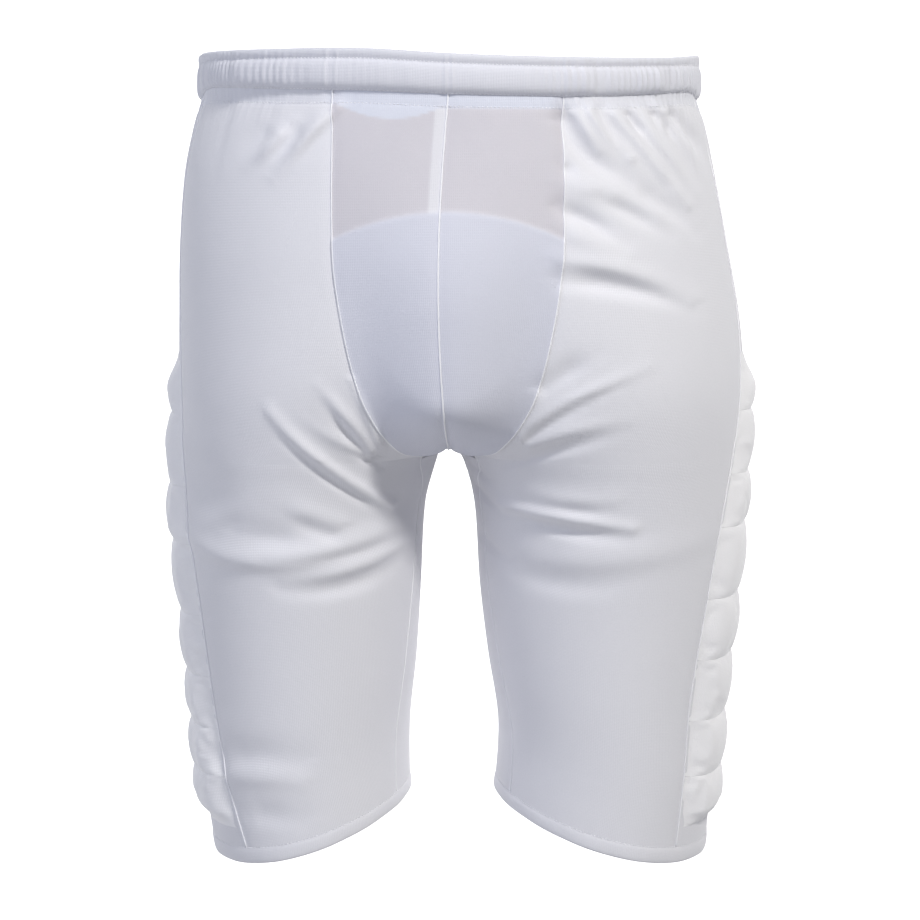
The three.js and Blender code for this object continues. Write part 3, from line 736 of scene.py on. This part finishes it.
# %% The cloth materials
def cloth_material(name, light, shade, bump, wale=1.1, tints=()):
    """A knit: colour between shade and light by tone and weave, times tints by point attributes."""
    material = bpy.data.materials.new(name)
    material.use_nodes = True
    tree = material.node_tree
    shader = tree.nodes["Principled BSDF"]
    set_inputs(shader, {"Roughness": 0.86, "Sheen Weight": 0.25, "Sheen Roughness": 0.45,
                        "Specular IOR Level": 0.25})
    knit = tree.nodes.new("ShaderNodeGroup")
    knit.node_tree = knit_group
    knit.inputs["Wale"].default_value = wale
    tone = tree.nodes.new("ShaderNodeGroup")
    tone.node_tree = tone_group
    share = math_node(tree, "MULTIPLY", tone.outputs["Mask"], 0.5)
    share = math_node(tree, "ADD", share, math_node(tree, "MULTIPLY", knit.outputs["Mask"], 0.12))
    share = math_node(tree, "ADD", share, math_node(tree, "MULTIPLY", knit.outputs["Grain"], 0.65))
    colour = tree.nodes.new("ShaderNodeMix")
    colour.data_type = "RGBA"
    set_inputs(colour, {"A": (*shade, 1), "B": (*light, 1)})
    tree.links.new(share, colour.inputs["Factor"])
    out = colour.outputs["Result"]
    for attribute, tint in tints:
        layer = tree.nodes.new("ShaderNodeAttribute")
        layer.attribute_name = attribute
        tinted = tree.nodes.new("ShaderNodeMix")
        tinted.data_type = "RGBA"
        tinted.blend_type = "MULTIPLY"
        tinted.inputs["B"].default_value = (*tint, 1)
        tree.links.new(layer.outputs["Fac"], tinted.inputs["Factor"])
        tree.links.new(out, tinted.inputs["A"])
        out = tinted.outputs["Result"]
    tree.links.new(out, shader.inputs["Base Color"])
    relief = tree.nodes.new("ShaderNodeBump")
    set_inputs(relief, {"Strength": bump, "Distance": 0.25 * MM})
    tree.links.new(knit.outputs["Height"], relief.inputs["Height"])
    tree.links.new(relief.outputs["Normal"], shader.inputs["Normal"])
    return material


WHITE = (0.83, 0.825, 0.855)
SHADE = (0.735, 0.733, 0.775)
FACED = ("facing", (0.90, 0.93, 0.99))
# The one-layer tint is partly painted shade: besides greying the one layer of knit, it darkens the
# upper pouch, which faces up.
ONE_LAYER_WITH_PAINTED_SHADE = ("single_layer_and_shade", (0.83, 0.805, 0.82))
# The backed tint is partly painted shade: besides the blue of the inner layer behind, it darkens
# the whole lower pouch, where the cloth curves under.
BACKED_WITH_PAINTED_SHADE = ("backed_and_shade", (0.865, 0.88, 0.94))
knit_cloth = cloth_material("knit_cloth", WHITE, SHADE, 0.32, tints=[FACED])
pouch_cloth = cloth_material("pouch_cloth", WHITE, SHADE, 0.38, tints=[ONE_LAYER_WITH_PAINTED_SHADE, BACKED_WITH_PAINTED_SHADE, FACED])
elastic_cloth = cloth_material(
    "elastic_cloth", (0.79, 0.79, 0.84), (0.70, 0.705, 0.765), 0.5, wale=0.9,
)
pad_cloth = cloth_material("pad_cloth", (0.95, 0.943, 0.955), (0.90, 0.893, 0.915), 0.4)
lining_cloth = cloth_material("lining_cloth", (0.88, 0.88, 0.9), (0.82, 0.82, 0.85), 0.4)
thread = cloth_material("thread", (0.95, 0.95, 0.97), (0.88, 0.88, 0.92), 0.2)


def dress(obj, material, node=None):
    """Gives a piece its material and its body, and hides the node that it replaces."""
    obj.data.materials.append(material)
    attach(obj, "root")
    if node:
        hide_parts(node)


# %% [markdown]
# ## Levels and edges of the panels
#
# The front, side and back panels of a leg run from inside the waistband down to the hem. The
# front panel ends at the pouch's seam above the crotch and at the inseam below it.

# %% Levels and seams
HEM_START = 2 - HEM_HEIGHT / LEG_LENGTH
PAD_LAST = HEM_START - PAD_STOP / LEG_LENGTH
PANEL_TOP = -8.5 / RISE
PANEL_FOOT = HEM_START - 0.05 / LEG_LENGTH
PANEL_ROWS = 280
FRONT_COLUMNS, BACK_COLUMNS, SIDE_COLUMNS, POUCH_COLUMNS = 100, 76, 40, 56


def panel_levels(count):
    """Levels from the waistband to the hem, closer together at the crotch's round."""
    even = np.linspace(PANEL_TOP, PANEL_FOOT, count)
    share = np.linspace(0, 1, 26)
    angle = (1 - (1 - share) ** 1.4) * np.pi / 2
    crotch = 1 - CROTCH_ROUND / RISE * (1 - np.sin(angle))
    away = np.abs(even[:, None] - crotch[None, :]).min(axis=1)
    kept = even[(even < crotch[0]) & (away > 0.003) | (even > 1.003)]
    return np.sort(np.concatenate([kept, crotch, [1.0015]]))


def pouch_gap(at):
    """Half the gap at the pouch's seams."""
    return SEAM / 2 * (1 + 2 * smooth(0.85, 0.98, at))


def front_seam(side, at):
    """The seam in front of the side panel, as a turn."""
    return np.radians(read(seams, SIDE_NAME[side], at))


def back_seam(at):
    """The seam behind the side panel, as a turn."""
    return np.radians(read(seams, "back", at))


def inner_turn(side, at):
    """The front panel's inner edge: the pouch's seam, and below the crotch the inseam."""
    above = np.minimum(at, 1)
    pouch = turn_at(side, above, pouch_half(above) + pouch_gap(above))
    inseam = np.radians(mix(INSEAM_TURN, INSEAM_LOW, smooth(1.1, 1.9, at)))
    return mix(pouch, inseam, smooth(1, 1.12, at))


def back_turn(side, at):
    """The back panel's inner edge: the middle seam, and below the crotch the inseam."""
    middle = turn_at(side, np.minimum(at, 1), np.zeros_like(at))
    return np.where(at <= 1, middle, 2 * np.pi - inner_turn(side, at))


FRONT_TURN = np.radians(110)


def between(side, at, outer, inner, columns):
    """Turns across a panel, short of its seams by half a gap, closer on the inner thigh."""
    _, width, front, _ = section(side, at)
    gap = SEAM / 2 / np.minimum(width, front)
    first, last = (outer + gap)[:, None], (inner - gap)[:, None]
    straight = np.minimum(last, FRONT_TURN)
    share = np.linspace(0, 1, columns)[None, :]
    return mix(first, straight, share) + (last - straight) * share**2


SEAM_DIP, SEAM_DIP_WIDE = 0.5, 4.0


def seam_dip(points):
    """Cloth sinks towards its seams: a bell from each of the grid's two side edges."""
    across = row_arcs(points)
    edge = np.minimum(across, across[:, -1:] - across)
    return -SEAM_DIP * np.exp(-((edge / SEAM_DIP_WIDE) ** 2))


def cloth_panel(name, side, at, turns):
    """A panel of a leg: the body surface with folds, gathers and seam dips, one wall thick."""
    base = body(side, at[:, None], turns)
    normal = outward_of(base)
    face = np.where(base[..., 1] < 0, -1, 1)
    lift = fold_lift(base) + ruffle(side, at[:, None], turns)
    dip = seam_dip(base) + row_dip(base)
    outer = base + fold_way(normal, face) * lift[..., None] + normal * dip[..., None]
    obj = shell(name, outer, outer - normal * CLOTH, arc_lengths(base))
    add_attribute(obj, "facing", facing(base))
    return obj, outer


# %% [markdown]
# ## Waistband
#
# The waistband is the panels' cloth folded over a 17 mm elastic, with one row of stitches above it
# and one at its foot. The elastic swells out between the rows, and the gathers run across it. It
# is one ring: a section like a flattened tube, carried round the waist. Laid flat, such a ring is
# as wide as half the girth of its section, 1.12 times the section's height.

# %% Waistband
BAND_COLUMNS = 1400
band_section = table(
    "wall swell up gather pleat",
    """
    0.62 0 0 0.4 0.5
    0.78 0.02 0.02 0.4 0.6
    1 0.25 0.06 0.5 0.7
    1 0.7 0.12 0.8 1
    1 0.92 0.2 1 1
    1 1 0.29 1 1
    1 1 0.38 1 1
    1 0.94 0.47 1 1
    1 0.84 0.55 1 1
    1 0.66 0.63 0.8 1
    1 0.36 0.69 0.6 0.9
    1 0.05 0.73 0.5 0.7
    1 -0.06 0.76 0.5 0.6
    1 0.05 0.79 0.5 0.6
    1 0.22 0.84 0.5 0.6
    1 0.26 0.9 0.5 0.6
    1 0.16 0.96 0.5 0.5
    0.8 0.05 1 0.5 0.4
    0.3 0 1 0.5 0.3
    0 0 0.96 0.5 0.2
    0 0 0.75 0.4 0
    0 -0.25 0.5 0.4 0
    0 0 0.25 0.4 0
    0 0 0.02 0.4 0
    0.4 0 -0.01 0.4 0.2
    """,
)


def round_body(at, round_turn):
    """Points of the body all round at levels above the crotch, from turns round the waist."""
    turn = np.arctan2(np.sin(round_turn), np.abs(np.cos(round_turn)))
    right = np.cos(round_turn)[:, None] >= 0
    return np.where(right, body(1, at, turn), body(-1, at, turn))


def waist_frame(round_turn):
    """Points of the waist's outline and its outward directions, level with the band's foot."""
    point = round_body(0, round_turn)
    return point, unit(point * (1 / WAIST_WIDTH**2, 1 / WAIST_DEPTH**2, 0))


def band_joins(point):
    """Ridges where the panels' seams run on up the waistband: two narrow lines at each."""
    ridge = np.zeros(point.shape[:-1])
    for place in (-POUCH_WIDTH / 2 - 3, -POUCH_WIDTH / 2 + 3, -1.5, 2.5, POUCH_WIDTH / 2):
        ridge += 0.5 * np.exp(-(((point[..., 0] - place) / 1.1) ** 2))
    return ridge * (point[..., 1] < 0)


def waistband():
    """The band's section carried round the waist, with waves for the gathers."""
    round_turn = np.linspace(0, 2 * np.pi, BAND_COLUMNS, endpoint=False)
    point, out = waist_frame(round_turn)
    wave = gather_wave(round_turn)[:, None]
    up = band_section["up"][None, :]
    skew = gather_wave(round_turn + 0.02)[:, None]
    pleat = pleat_wave(round_turn)[:, None]
    flank = 1 - 0.6 * smooth(0.75, 1, np.abs(np.cos(round_turn)))[:, None]
    lift = (
        BAND_WALL * (band_section["wall"][None, :] - 0.6)
        + BAND_SWELL * band_section["swell"][None, :] * flank
        + mix(wave, skew, up) * band_section["gather"][None, :]
        + pleat * band_section["pleat"][None, :]
    )
    lift += band_joins(point)[:, None] * (band_section["wall"][None, :] > 0.5)
    loops = point[:, None, :] + out[:, None, :] * lift[..., None]
    foot = BAND_FOOT + SEAM + waist_shift(point, "foot")[:, None]
    top = BAND_FOOT + BAND_HEIGHT + waist_shift(point, "top")[:, None]
    loops[..., 2] = mix(foot, top, up)
    length = round_length(point)
    uv = np.stack(np.broadcast_arrays(length[:, None], up * BAND_HEIGHT), axis=-1)
    return ring("waistband_cloth", loops, uv), loops, length[-1]


band, band_loops, band_length = waistband()
dress(band, elastic_cloth, "waistband")

# %% [markdown]
# ## Leg panels
#
# Front, side and back panels for each leg, cut from one surface so that their seams meet.

# %% Front, side and back panels
panels = {}
for side in (-1, 1):
    name = SIDE_NAME[side]
    levels = panel_levels(PANEL_ROWS)
    ahead, behind = front_seam(side, levels), back_seam(levels)
    cuts = {
        "front": -between(side, levels, ahead, inner_turn(side, levels), FRONT_COLUMNS)[:, ::-1],
        "back": between(side, levels, behind, back_turn(side, levels), BACK_COLUMNS),
        "side": between(side, levels, -ahead, behind, SIDE_COLUMNS),
    }
    for part, turns in cuts.items():
        obj, outer = cloth_panel(f"{part}_cloth_{name}", side, levels, turns)
        panels[part, side] = outer
        dress(obj, knit_cloth, f"{part}_{name}")

# %% [markdown]
# ## Pouch and its inner layer
#
# The pouch's two halves meet in a seam that bows a little to the left. Behind them hangs a second
# layer with an arched top. Where it backs the thin knit the pouch looks lighter and bluer, and
# above the arch, where the knit is one layer, greyer, but for a strip left of the middle seam,
# where its turned edge backs it. Both tints also hold painted shade: the one-layer tint darkens the
# upper pouch, which faces up, and the backed tint darkens the lower pouch, where it curves under. A
# number on each point tells the material which.

# %% Pouch
def centre_seam(at):
    """The pouch's middle seam: half a sine wave to the left."""
    return -CENTRE_BOW * np.sin(np.pi * np.clip(at, 0, 1))


def arch_level(x):
    """Level of the inner layer's top edge: a parabola, lowest at its ends."""
    return (LINING_TOP + LINING_ARCH * (x / (POUCH_WIDTH / 2)) ** 2) / RISE


LINING_BLUR, LINING_STEP = 0.008, 1.1
STRIPE, STRIPE_EDGE = 0.85, (-7.6, -5.4)


def pouch_panel(side):
    """Half of the pouch, with a small step where the inner layer's top edge presses through."""
    levels = panel_levels(PANEL_ROWS)
    levels = levels[levels <= 1.0]
    edge = side * (pouch_half(levels) - pouch_gap(levels))
    middle = np.clip(centre_seam(levels), -pouch_half(levels) / 2, pouch_half(levels) / 2)
    middle = middle + side * np.maximum(pouch_gap(levels) / 3, SEAM / 2)
    first, last = np.minimum(edge, middle), np.maximum(edge, middle)
    x = mix(first[:, None], last[:, None], np.linspace(0, 1, POUCH_COLUMNS)[None, :])
    at = np.broadcast_to(levels[:, None], x.shape)
    base = front_point(x, at)
    normal = outward_of(base)
    below = smooth(-LINING_BLUR, LINING_BLUR, at - arch_level(x))
    lift = fold_lift(base) + ruffle(side, at, -turn_at(side, at, np.abs(x)))
    outer = base + fold_way(normal, -1) * lift[..., None]
    outer = outer + normal * (seam_dip(base) + row_dip(base) + LINING_STEP * below)[..., None]
    inner = outer - normal * CLOTH
    obj = shell(f"pouch_cloth_{SIDE_NAME[side]}", outer, inner, arc_lengths(base))
    stripe = STRIPE * smooth(*STRIPE_EDGE, x - middle[:, None]) * (side < 0)
    # one layer of knit above the arch: greyer, and painted shade on the upper pouch, which faces up
    single_layer_and_shade = (1 - below) * (1 - facing(base)) * (1 - stripe)
    add_attribute(obj, "single_layer_and_shade", single_layer_and_shade)
    add_attribute(obj, "facing", facing(base))
    # backed by the inner layer below the arch: bluer, and painted shade over the lower pouch, which
    # curves under
    add_attribute(obj, "backed_and_shade", below)
    return obj, outer


for side in (-1, 1):
    obj, outer = pouch_panel(side)
    panels["pouch", side] = outer
    dress(obj, pouch_cloth, f"pouch_{SIDE_NAME[side]}")


# %% Inner layer of the pouch
def inner_layer(rows=60, columns=70):
    """The layer behind the pouch, from its arched top edge down towards the crotch."""
    foot = 1 - LINING_STOP / RISE
    across = np.linspace(-1, 1, columns)[None, :]
    down = np.linspace(0, 1, rows)[:, None]
    top = arch_level(across * POUCH_WIDTH / 2)
    at = mix(top, foot, down)
    x = across * (pouch_half(at) - SEAM - CLOTH)
    base = front_point(x, at)
    normal = outward_of(base)
    outer = base + fold_way(normal, -1) * fold_lift(base)[..., None]
    outer = outer - normal * (CLOTH + LINING_SEAT)
    inner = outer - normal * LINING_CLOTH
    return shell("inner_pouch_cloth", outer, inner, arc_lengths(base)), outer


obj, outer = inner_layer()
dress(obj, lining_cloth, "inner_pouch")


# %% [markdown]
# ## Hems
#
# Each leg's edge is folded in once and stitched with two rows, so it is a little thicker than the
# panels and rolls slightly inwards. Only one row of its stitches is drawn.

# %% Hems
hem_section = table(
    "down out",
    """
    0 -0.1
    0.05 0.05
    0.15 0.35
    0.3 0.55
    0.5 0.65
    0.7 0.65
    0.88 0.5
    0.97 0.15
    1.01 -0.45
    0.98 -1.2
    0.9 -1.75
    0.5 -1.75
    0.04 -1.75
    0 -1.3
    """,
)


def hem(side, columns=260):
    """The hem's section carried round the leg's edge."""
    turn = np.linspace(-np.pi, np.pi, columns, endpoint=False)[:, None] + 1e-4
    at = mix(HEM_START, 2.0, hem_section["down"])[None, :]
    base = body(side, at, turn)
    down = hem_section["down"][None, :]
    wave = 0.35 * np.sin(9 * turn + 1) * np.cos(5 * turn)
    lift = hem_section["out"][None, :] + fold_lift(base) + wave * down
    loops = base + leg_outward(side, at, turn) * lift[..., None]
    length = round_length(base[:, 0])
    uv = np.stack(np.broadcast_arrays(length[:, None], -down * HEM_HEIGHT), axis=-1)
    return ring(f"hem_cloth_{SIDE_NAME[side]}", loops, uv), length[-1]


for side in (-1, 1):
    obj, length = hem(side)
    dress(obj, knit_cloth, f"hem_{SIDE_NAME[side]}")


# %% [markdown]
# ## Padded ribs
#
# Eight foam ribs run down each thigh under stretch cloth that is quilted between them. Foam under
# tight cloth looks like a small pillow, so each rib's cover is a sheet held at its edge and blown
# up a little by Blender's cloth simulation, which puts the soft wrinkles at its ends. How far
# a point may move is capped, and the result is applied.

# %% Ribs
RIBS_TOP = BAND_FOOT - PAD_TOP
RIBS_FOOT = float(level_height(PAD_LAST, 0))
RIB_ROWS, RIB_COLUMNS = 15, 40
RIB_MARGIN, RIB_SHOULDER, RIB_SUNK = 0.6, 12, 0.35
RIB_EDGE, RIB_SWELL, RIB_CAP = 4.5, 7.2, 0.6
RIB_FADE_TOP, RIB_FADE_FOOT = 24, 11


def rib_levels(side):
    """Levels of a side's rib edges, from heights shared out over the padded length."""
    z = mix(RIBS_TOP, RIBS_FOOT, np.concatenate([[0], rib_feet[side]]))
    return np.where(z > CROTCH_Z, (BAND_FOOT - z) / RISE, 1 + (CROTCH_Z - z) / LEG_LENGTH)


def rib_grids(side, index):
    """The seat just inside the side panel and a low dome over it, as grids.

    thickness = sunk + ends times (swell times shoulder - (swell - edge) times the crease), with
    shoulder = 1 - exp(-(distance to the side seam / width)^2) and the crease, shoulder^2 times
    (1 - the power 0.85 of half a sine wave down), so creases fade before they reach the seam
    """
    edges = rib_levels(side)
    gap = 0.03 / RISE
    at = np.linspace(edges[index] + gap, edges[index + 1] - gap, RIB_ROWS)
    inset = RIB_MARGIN / section(side, at)[1]
    first, last = -front_seam(side, at) + inset, back_seam(at) - inset
    share = np.linspace(0, 1, RIB_COLUMNS)[None, :]
    base = body(side, at[:, None], mix(first[:, None], last[:, None], share))
    normal = normals_of(base)
    if (normal[..., 0] * side).sum() < 0:
        normal = -normal
    face = np.where(base[..., 1] < 0, -1, 1)
    sunk = seam_dip(base) - RIB_SUNK
    seat = base + fold_way(normal, face) * fold_lift(base)[..., None] + normal * sunk[..., None]
    along_row = row_arcs(base)
    from_seam = np.minimum(along_row, along_row[:, -1:] - along_row)
    shoulder = 1 - np.exp(-((from_seam / RIB_SHOULDER) ** 2))
    height = base[..., 2]
    ends = smooth(0, RIB_FADE_TOP, RIBS_TOP - height) * smooth(0, RIB_FADE_FOOT, height - RIBS_FOOT)
    down = np.sin(np.pi * np.linspace(0, 1, RIB_ROWS))[:, None] ** 0.85
    thick = RIB_SWELL * shoulder - (RIB_SWELL - RIB_EDGE) * (1 - down) * shoulder**2
    return seat, seat + normal * (RIB_SUNK + thick * ends)[..., None], base


CLOTH_SETTINGS = {
    "vertex_group_mass": "held", "quality": 6, "mass": 0.3, "tension_stiffness": 12,
    "compression_stiffness": 12, "bending_stiffness": 0.4, "shrink_min": -0.06,
    "use_pressure": True, "uniform_pressure_force": 4,
}
SIMULATED_STEPS = 20


def blow_up(domes):
    """Cloth simulation of all the covers together: edges pinned, pressure from inside."""
    count = len(domes)
    size = RIB_ROWS * RIB_COLUMNS
    faces = np.concatenate([grid_faces(RIB_ROWS, RIB_COLUMNS, i * size) for i in range(count)])
    start = np.concatenate([d.reshape(-1, 3) for d in domes])
    cover = mesh_object("covers", start, faces.tolist())
    pinned = np.flatnonzero(np.tile(border_of(RIB_ROWS, RIB_COLUMNS), count))
    held = cover.vertex_groups.new(name="held")
    held.add(pinned.tolist(), 1.0, "REPLACE")
    cloth = cover.modifiers.new("cloth", "CLOTH")
    for setting, value in CLOTH_SETTINGS.items():
        setattr(cloth.settings, setting, value)
    cloth.settings.effector_weights.gravity = 0
    cloth.collision_settings.use_collision = False
    scene = bpy.context.scene
    for step in range(1, SIMULATED_STEPS + 1):
        scene.frame_set(step)
    graph = bpy.context.evaluated_depsgraph_get()
    blown = np.empty(len(start) * 3, np.float32)
    cover.evaluated_get(graph).data.vertices.foreach_get("co", blown)
    moved = blown.reshape(-1, 3) / MM - start
    far = np.linalg.norm(moved, axis=1, keepdims=True)
    moved *= np.minimum(1, RIB_CAP / np.maximum(far, 1e-6))
    print(f"covers: {count}, moved {far.mean():.2f} mm on average, {far.max():.2f} at most")
    bpy.data.objects.remove(cover)
    scene.frame_set(1)
    return list((start + moved).reshape(count, RIB_ROWS, RIB_COLUMNS, 3))


ribs = [(side, index) for side in (-1, 1) for index in range(8)]
grids = [rib_grids(*rib) for rib in ribs]
domes = [dome for _, dome, _ in grids]
domes = blow_up(domes)
for (side, index), (seat, _, base), dome in zip(ribs, grids, domes):
    name = f"pad_{SIDE_NAME[side]}_{index + 1}"
    obj = shell(f"{name}_cover", dome, seat, arc_lengths(base))
    finer = obj.modifiers.new("finer", "SUBSURF")
    finer.levels = finer.render_levels = 1
    dress(obj, pad_cloth, name)


# %% [markdown]
# ## Seams and stitches
#
# Every seam shows as a fine raised white line: the thread and turned edges of a flat seam. It is a
# flattened tube along the seam. The rows of stitches are hundreds of short threads, one mesh for
# the waistband and one for each hem, made from one eight-faced form placed by arrays.

# %% Seam lines
def tube(name, centre, normal, wide, high, sides=8):
    """A flattened tube along a line, closed at both ends by a point."""
    across = unit(np.cross(unit(np.gradient(centre, axis=0)), normal))
    angle = np.linspace(0, 2 * np.pi, sides, endpoint=False)
    loops = (
        centre[:, None, :]
        + across[:, None, :] * (wide / 2 * np.cos(angle))[None, :, None]
        + normal[:, None, :] * (high / 2 * np.sin(angle))[None, :, None]
    )
    rows = len(centre)
    quads = loop_faces(rows, sides, closed=False)[:, ::-1]
    points = np.concatenate([loops.reshape(-1, 3), centre[:1], centre[-1:]])
    faces = quads.tolist()
    for k in range(sides):
        after = (k + 1) % sides
        faces.append([rows * sides, after, k])
        faces.append([rows * sides + 1, (rows - 1) * sides + k, (rows - 1) * sides + after])
    if volume(points, quads) < 0:
        faces = [face[::-1] for face in faces]
    return mesh_object(name, points, faces, np.zeros((len(points), 2)))


SEAM_WIDE, SEAM_HIGH, SEAM_LIFT = 1.05, 0.8, 0.25


def seam_line(name, edge_a, edge_b, stop=None):
    """A raised line along two neighbouring panels' edges, given as arrays of points."""
    centre = ((edge_a + edge_b) / 2)[:stop]
    way = np.gradient(centre, axis=0)
    out = unit(np.cross(way, np.cross(centre * (1, 1, 0), way)))
    obj = tube(name, centre + out * SEAM_LIFT, out, SEAM_WIDE, SEAM_HIGH)
    dress(obj, thread)


levels = panel_levels(PANEL_ROWS)
above = int((levels <= 1.0).sum())
for side in (-1, 1):
    name = SIDE_NAME[side]
    front, back, flank = panels["front", side], panels["back", side], panels["side", side]
    pouch = panels["pouch", side]
    pouch_edge = pouch[:, -1] if side > 0 else pouch[:, 0]
    seam_line(f"pouch_seam_{name}", front[:above, 0], pouch_edge)
    seam_line(f"front_side_seam_{name}", front[:, -1], flank[:, 0])
    seam_line(f"back_side_seam_{name}", flank[:, -1], back[:, 0])
    seam_line(f"inseam_{name}", front[above:, 0], back[above:, -1])
seam_line("pouch_middle_seam", panels["pouch", -1][:, -1], panels["pouch", 1][:, 0], stop=-2)
seam_line("seat_seam", panels["back", -1][:above, -1], panels["back", 1][:above, -1], stop=-2)


# %% Rows of stitches
STITCH_PITCH, STITCH_LENGTH, STITCH_RAISED = 2.3, 1.7, 0.1
ROW_SUNK = 0.2


def stitches(name, lines, wide, high):
    """One mesh of small eight-faced threads, spaced evenly along lines of points.

    lines: pairs of a line of points and their outward directions; a thread lies along its line
    """
    form = np.array([[1, 0, 0], [-1, 0, 0], [0, 1, 0], [0, -1, 0], [0, 0, 1], [0, 0, -1]]) / 2
    form = form * (STITCH_LENGTH, wide, high)
    sides = np.array([[0, 2, 4], [2, 1, 4], [1, 3, 4], [3, 0, 4], [2, 0, 5], [1, 2, 5], [3, 1, 5],
                      [0, 3, 5]])
    points = []
    for line, out in lines:
        length = row_arcs(line[None])[0]
        places = np.arange(STITCH_PITCH / 2, length[-1], STITCH_PITCH)

        def sample(values, at):
            return np.stack([np.interp(at, length, values[:, k]) for k in range(3)], axis=1)

        centre, up = sample(line, places), sample(out, places)
        way = unit(sample(line, places + 0.5) - centre)
        across = np.cross(up, way)
        axes = np.stack([way, across, np.cross(way, across)], axis=1)
        points.append((centre[:, None, :] + np.einsum("vk,nkx->nvx", form, axes)).reshape(-1, 3))
    points = np.concatenate(points)
    count = len(points) // 6
    faces = (sides[None, :, :] + 6 * np.arange(count)[:, None, None]).reshape(-1, 3)
    obj = mesh_object(name, points, faces.tolist(), np.zeros((len(points), 2)))
    dress(obj, thread)
    print(f"{name}: {count} stitches")


def waist_row():
    """The second row's line round the waist, on the panels, with the outward directions."""
    round_turn = np.linspace(0, 2 * np.pi, 1200)
    point, out = waist_frame(round_turn)
    at = (BAND_FOOT - row_height(point)) / RISE
    line = round_body(at, round_turn)
    lift = ruffle(1, at, round_turn) + fold_lift(line) - ROW_SUNK
    return line + out * lift[:, None], out


def band_row(column):
    """A line round the band along one column of its section."""
    line = np.concatenate([band_loops[:, column], band_loops[:1, column]])
    _, out = waist_frame(np.linspace(0, 2 * np.pi, len(line)))
    return line + out * STITCH_RAISED, out


def hem_row(side):
    """A line round the hem's top, with the outward directions."""
    turn = np.linspace(-np.pi, np.pi, 500)
    line = body(side, np.full_like(turn, HEM_START), turn)
    out = leg_outward(side, HEM_START, turn)
    return line + out * (fold_lift(line) + STITCH_RAISED)[:, None], out


stitches("waistband_stitches", [band_row(12), band_row(1), waist_row()], 0.55, 0.5)
for side in (-1, 1):
    stitches(f"hem_stitches_{SIDE_NAME[side]}", [hem_row(side)], 0.5, 0.4)


# %% Floor, backdrop and light
FLOOR_Z, WALL_Y, WALL_TOP, HALF = -1.7, 3.2, 4, 6.0


def stage_plane(name, near, far, colour, glow):
    """A staged plane between two edges, given as y and z, matt and glowing a little or a lot."""
    corners = [(-HALF, *near), (HALF, *near), (HALF, *far), (-HALF, *far)]
    mesh = bpy.data.meshes.new(name)
    mesh.from_pydata(corners, [], [(0, 1, 2, 3)])
    obj = bpy.data.objects.new(name, mesh)
    bpy.context.scene.collection.objects.link(obj)
    material = bpy.data.materials.new(name)
    material.use_nodes = True
    shader = material.node_tree.nodes["Principled BSDF"]
    set_inputs(shader, {"Base Color": (*colour, 1), "Roughness": 1, "Specular IOR Level": 0,
                        "Emission Color": (1, 1, 1, 1), "Emission Strength": glow})
    obj.data.materials.append(material)


stage_plane("floor", (-HALF, FLOOR_Z), (WALL_Y, FLOOR_Z), (0.63, 0.63, 0.64), 0.05)
stage_plane("backdrop", (WALL_Y, FLOOR_Z), (WALL_Y, WALL_TOP), (0.9, 0.9, 0.9), 1.3)


MIDDLE = (0, 0, -0.25)


def area_light(name, place, size, power, colour):
    """A soft square light that looks at the middle of the shorts."""
    data = bpy.data.lights.new(name, "AREA")
    data.size = size
    data.energy = power
    data.color = colour
    obj = bpy.data.objects.new(name, data)
    obj.location = place
    way = np.subtract(MIDDLE, place)
    raised = math.atan2(way[2], math.hypot(way[0], way[1]))
    aside = math.atan2(way[1], way[0])
    obj.rotation_euler = (math.pi / 2 + raised, 0, aside - math.pi / 2)
    bpy.context.scene.collection.objects.link(obj)


area_light("key", (1.15, -1.8, 1.75), 0.4, 54, (1.0, 0.985, 0.955))
area_light("overhead", (0, -1.2, 2.2), 2.0, 7, (0.97, 0.975, 1.0))
area_light("fill", (-1.5, -1.4, 0.5), 2.0, 17, (0.78, 0.83, 1.0))

world = bpy.data.worlds.new("studio")
world.use_nodes = True
background = world.node_tree.nodes["Background"]
background.inputs["Color"].default_value = (0.93, 0.95, 1.0, 1)
background.inputs["Strength"].default_value = 0.19
bpy.context.scene.world = world
bpy.context.scene.view_settings.view_transform = "Standard"
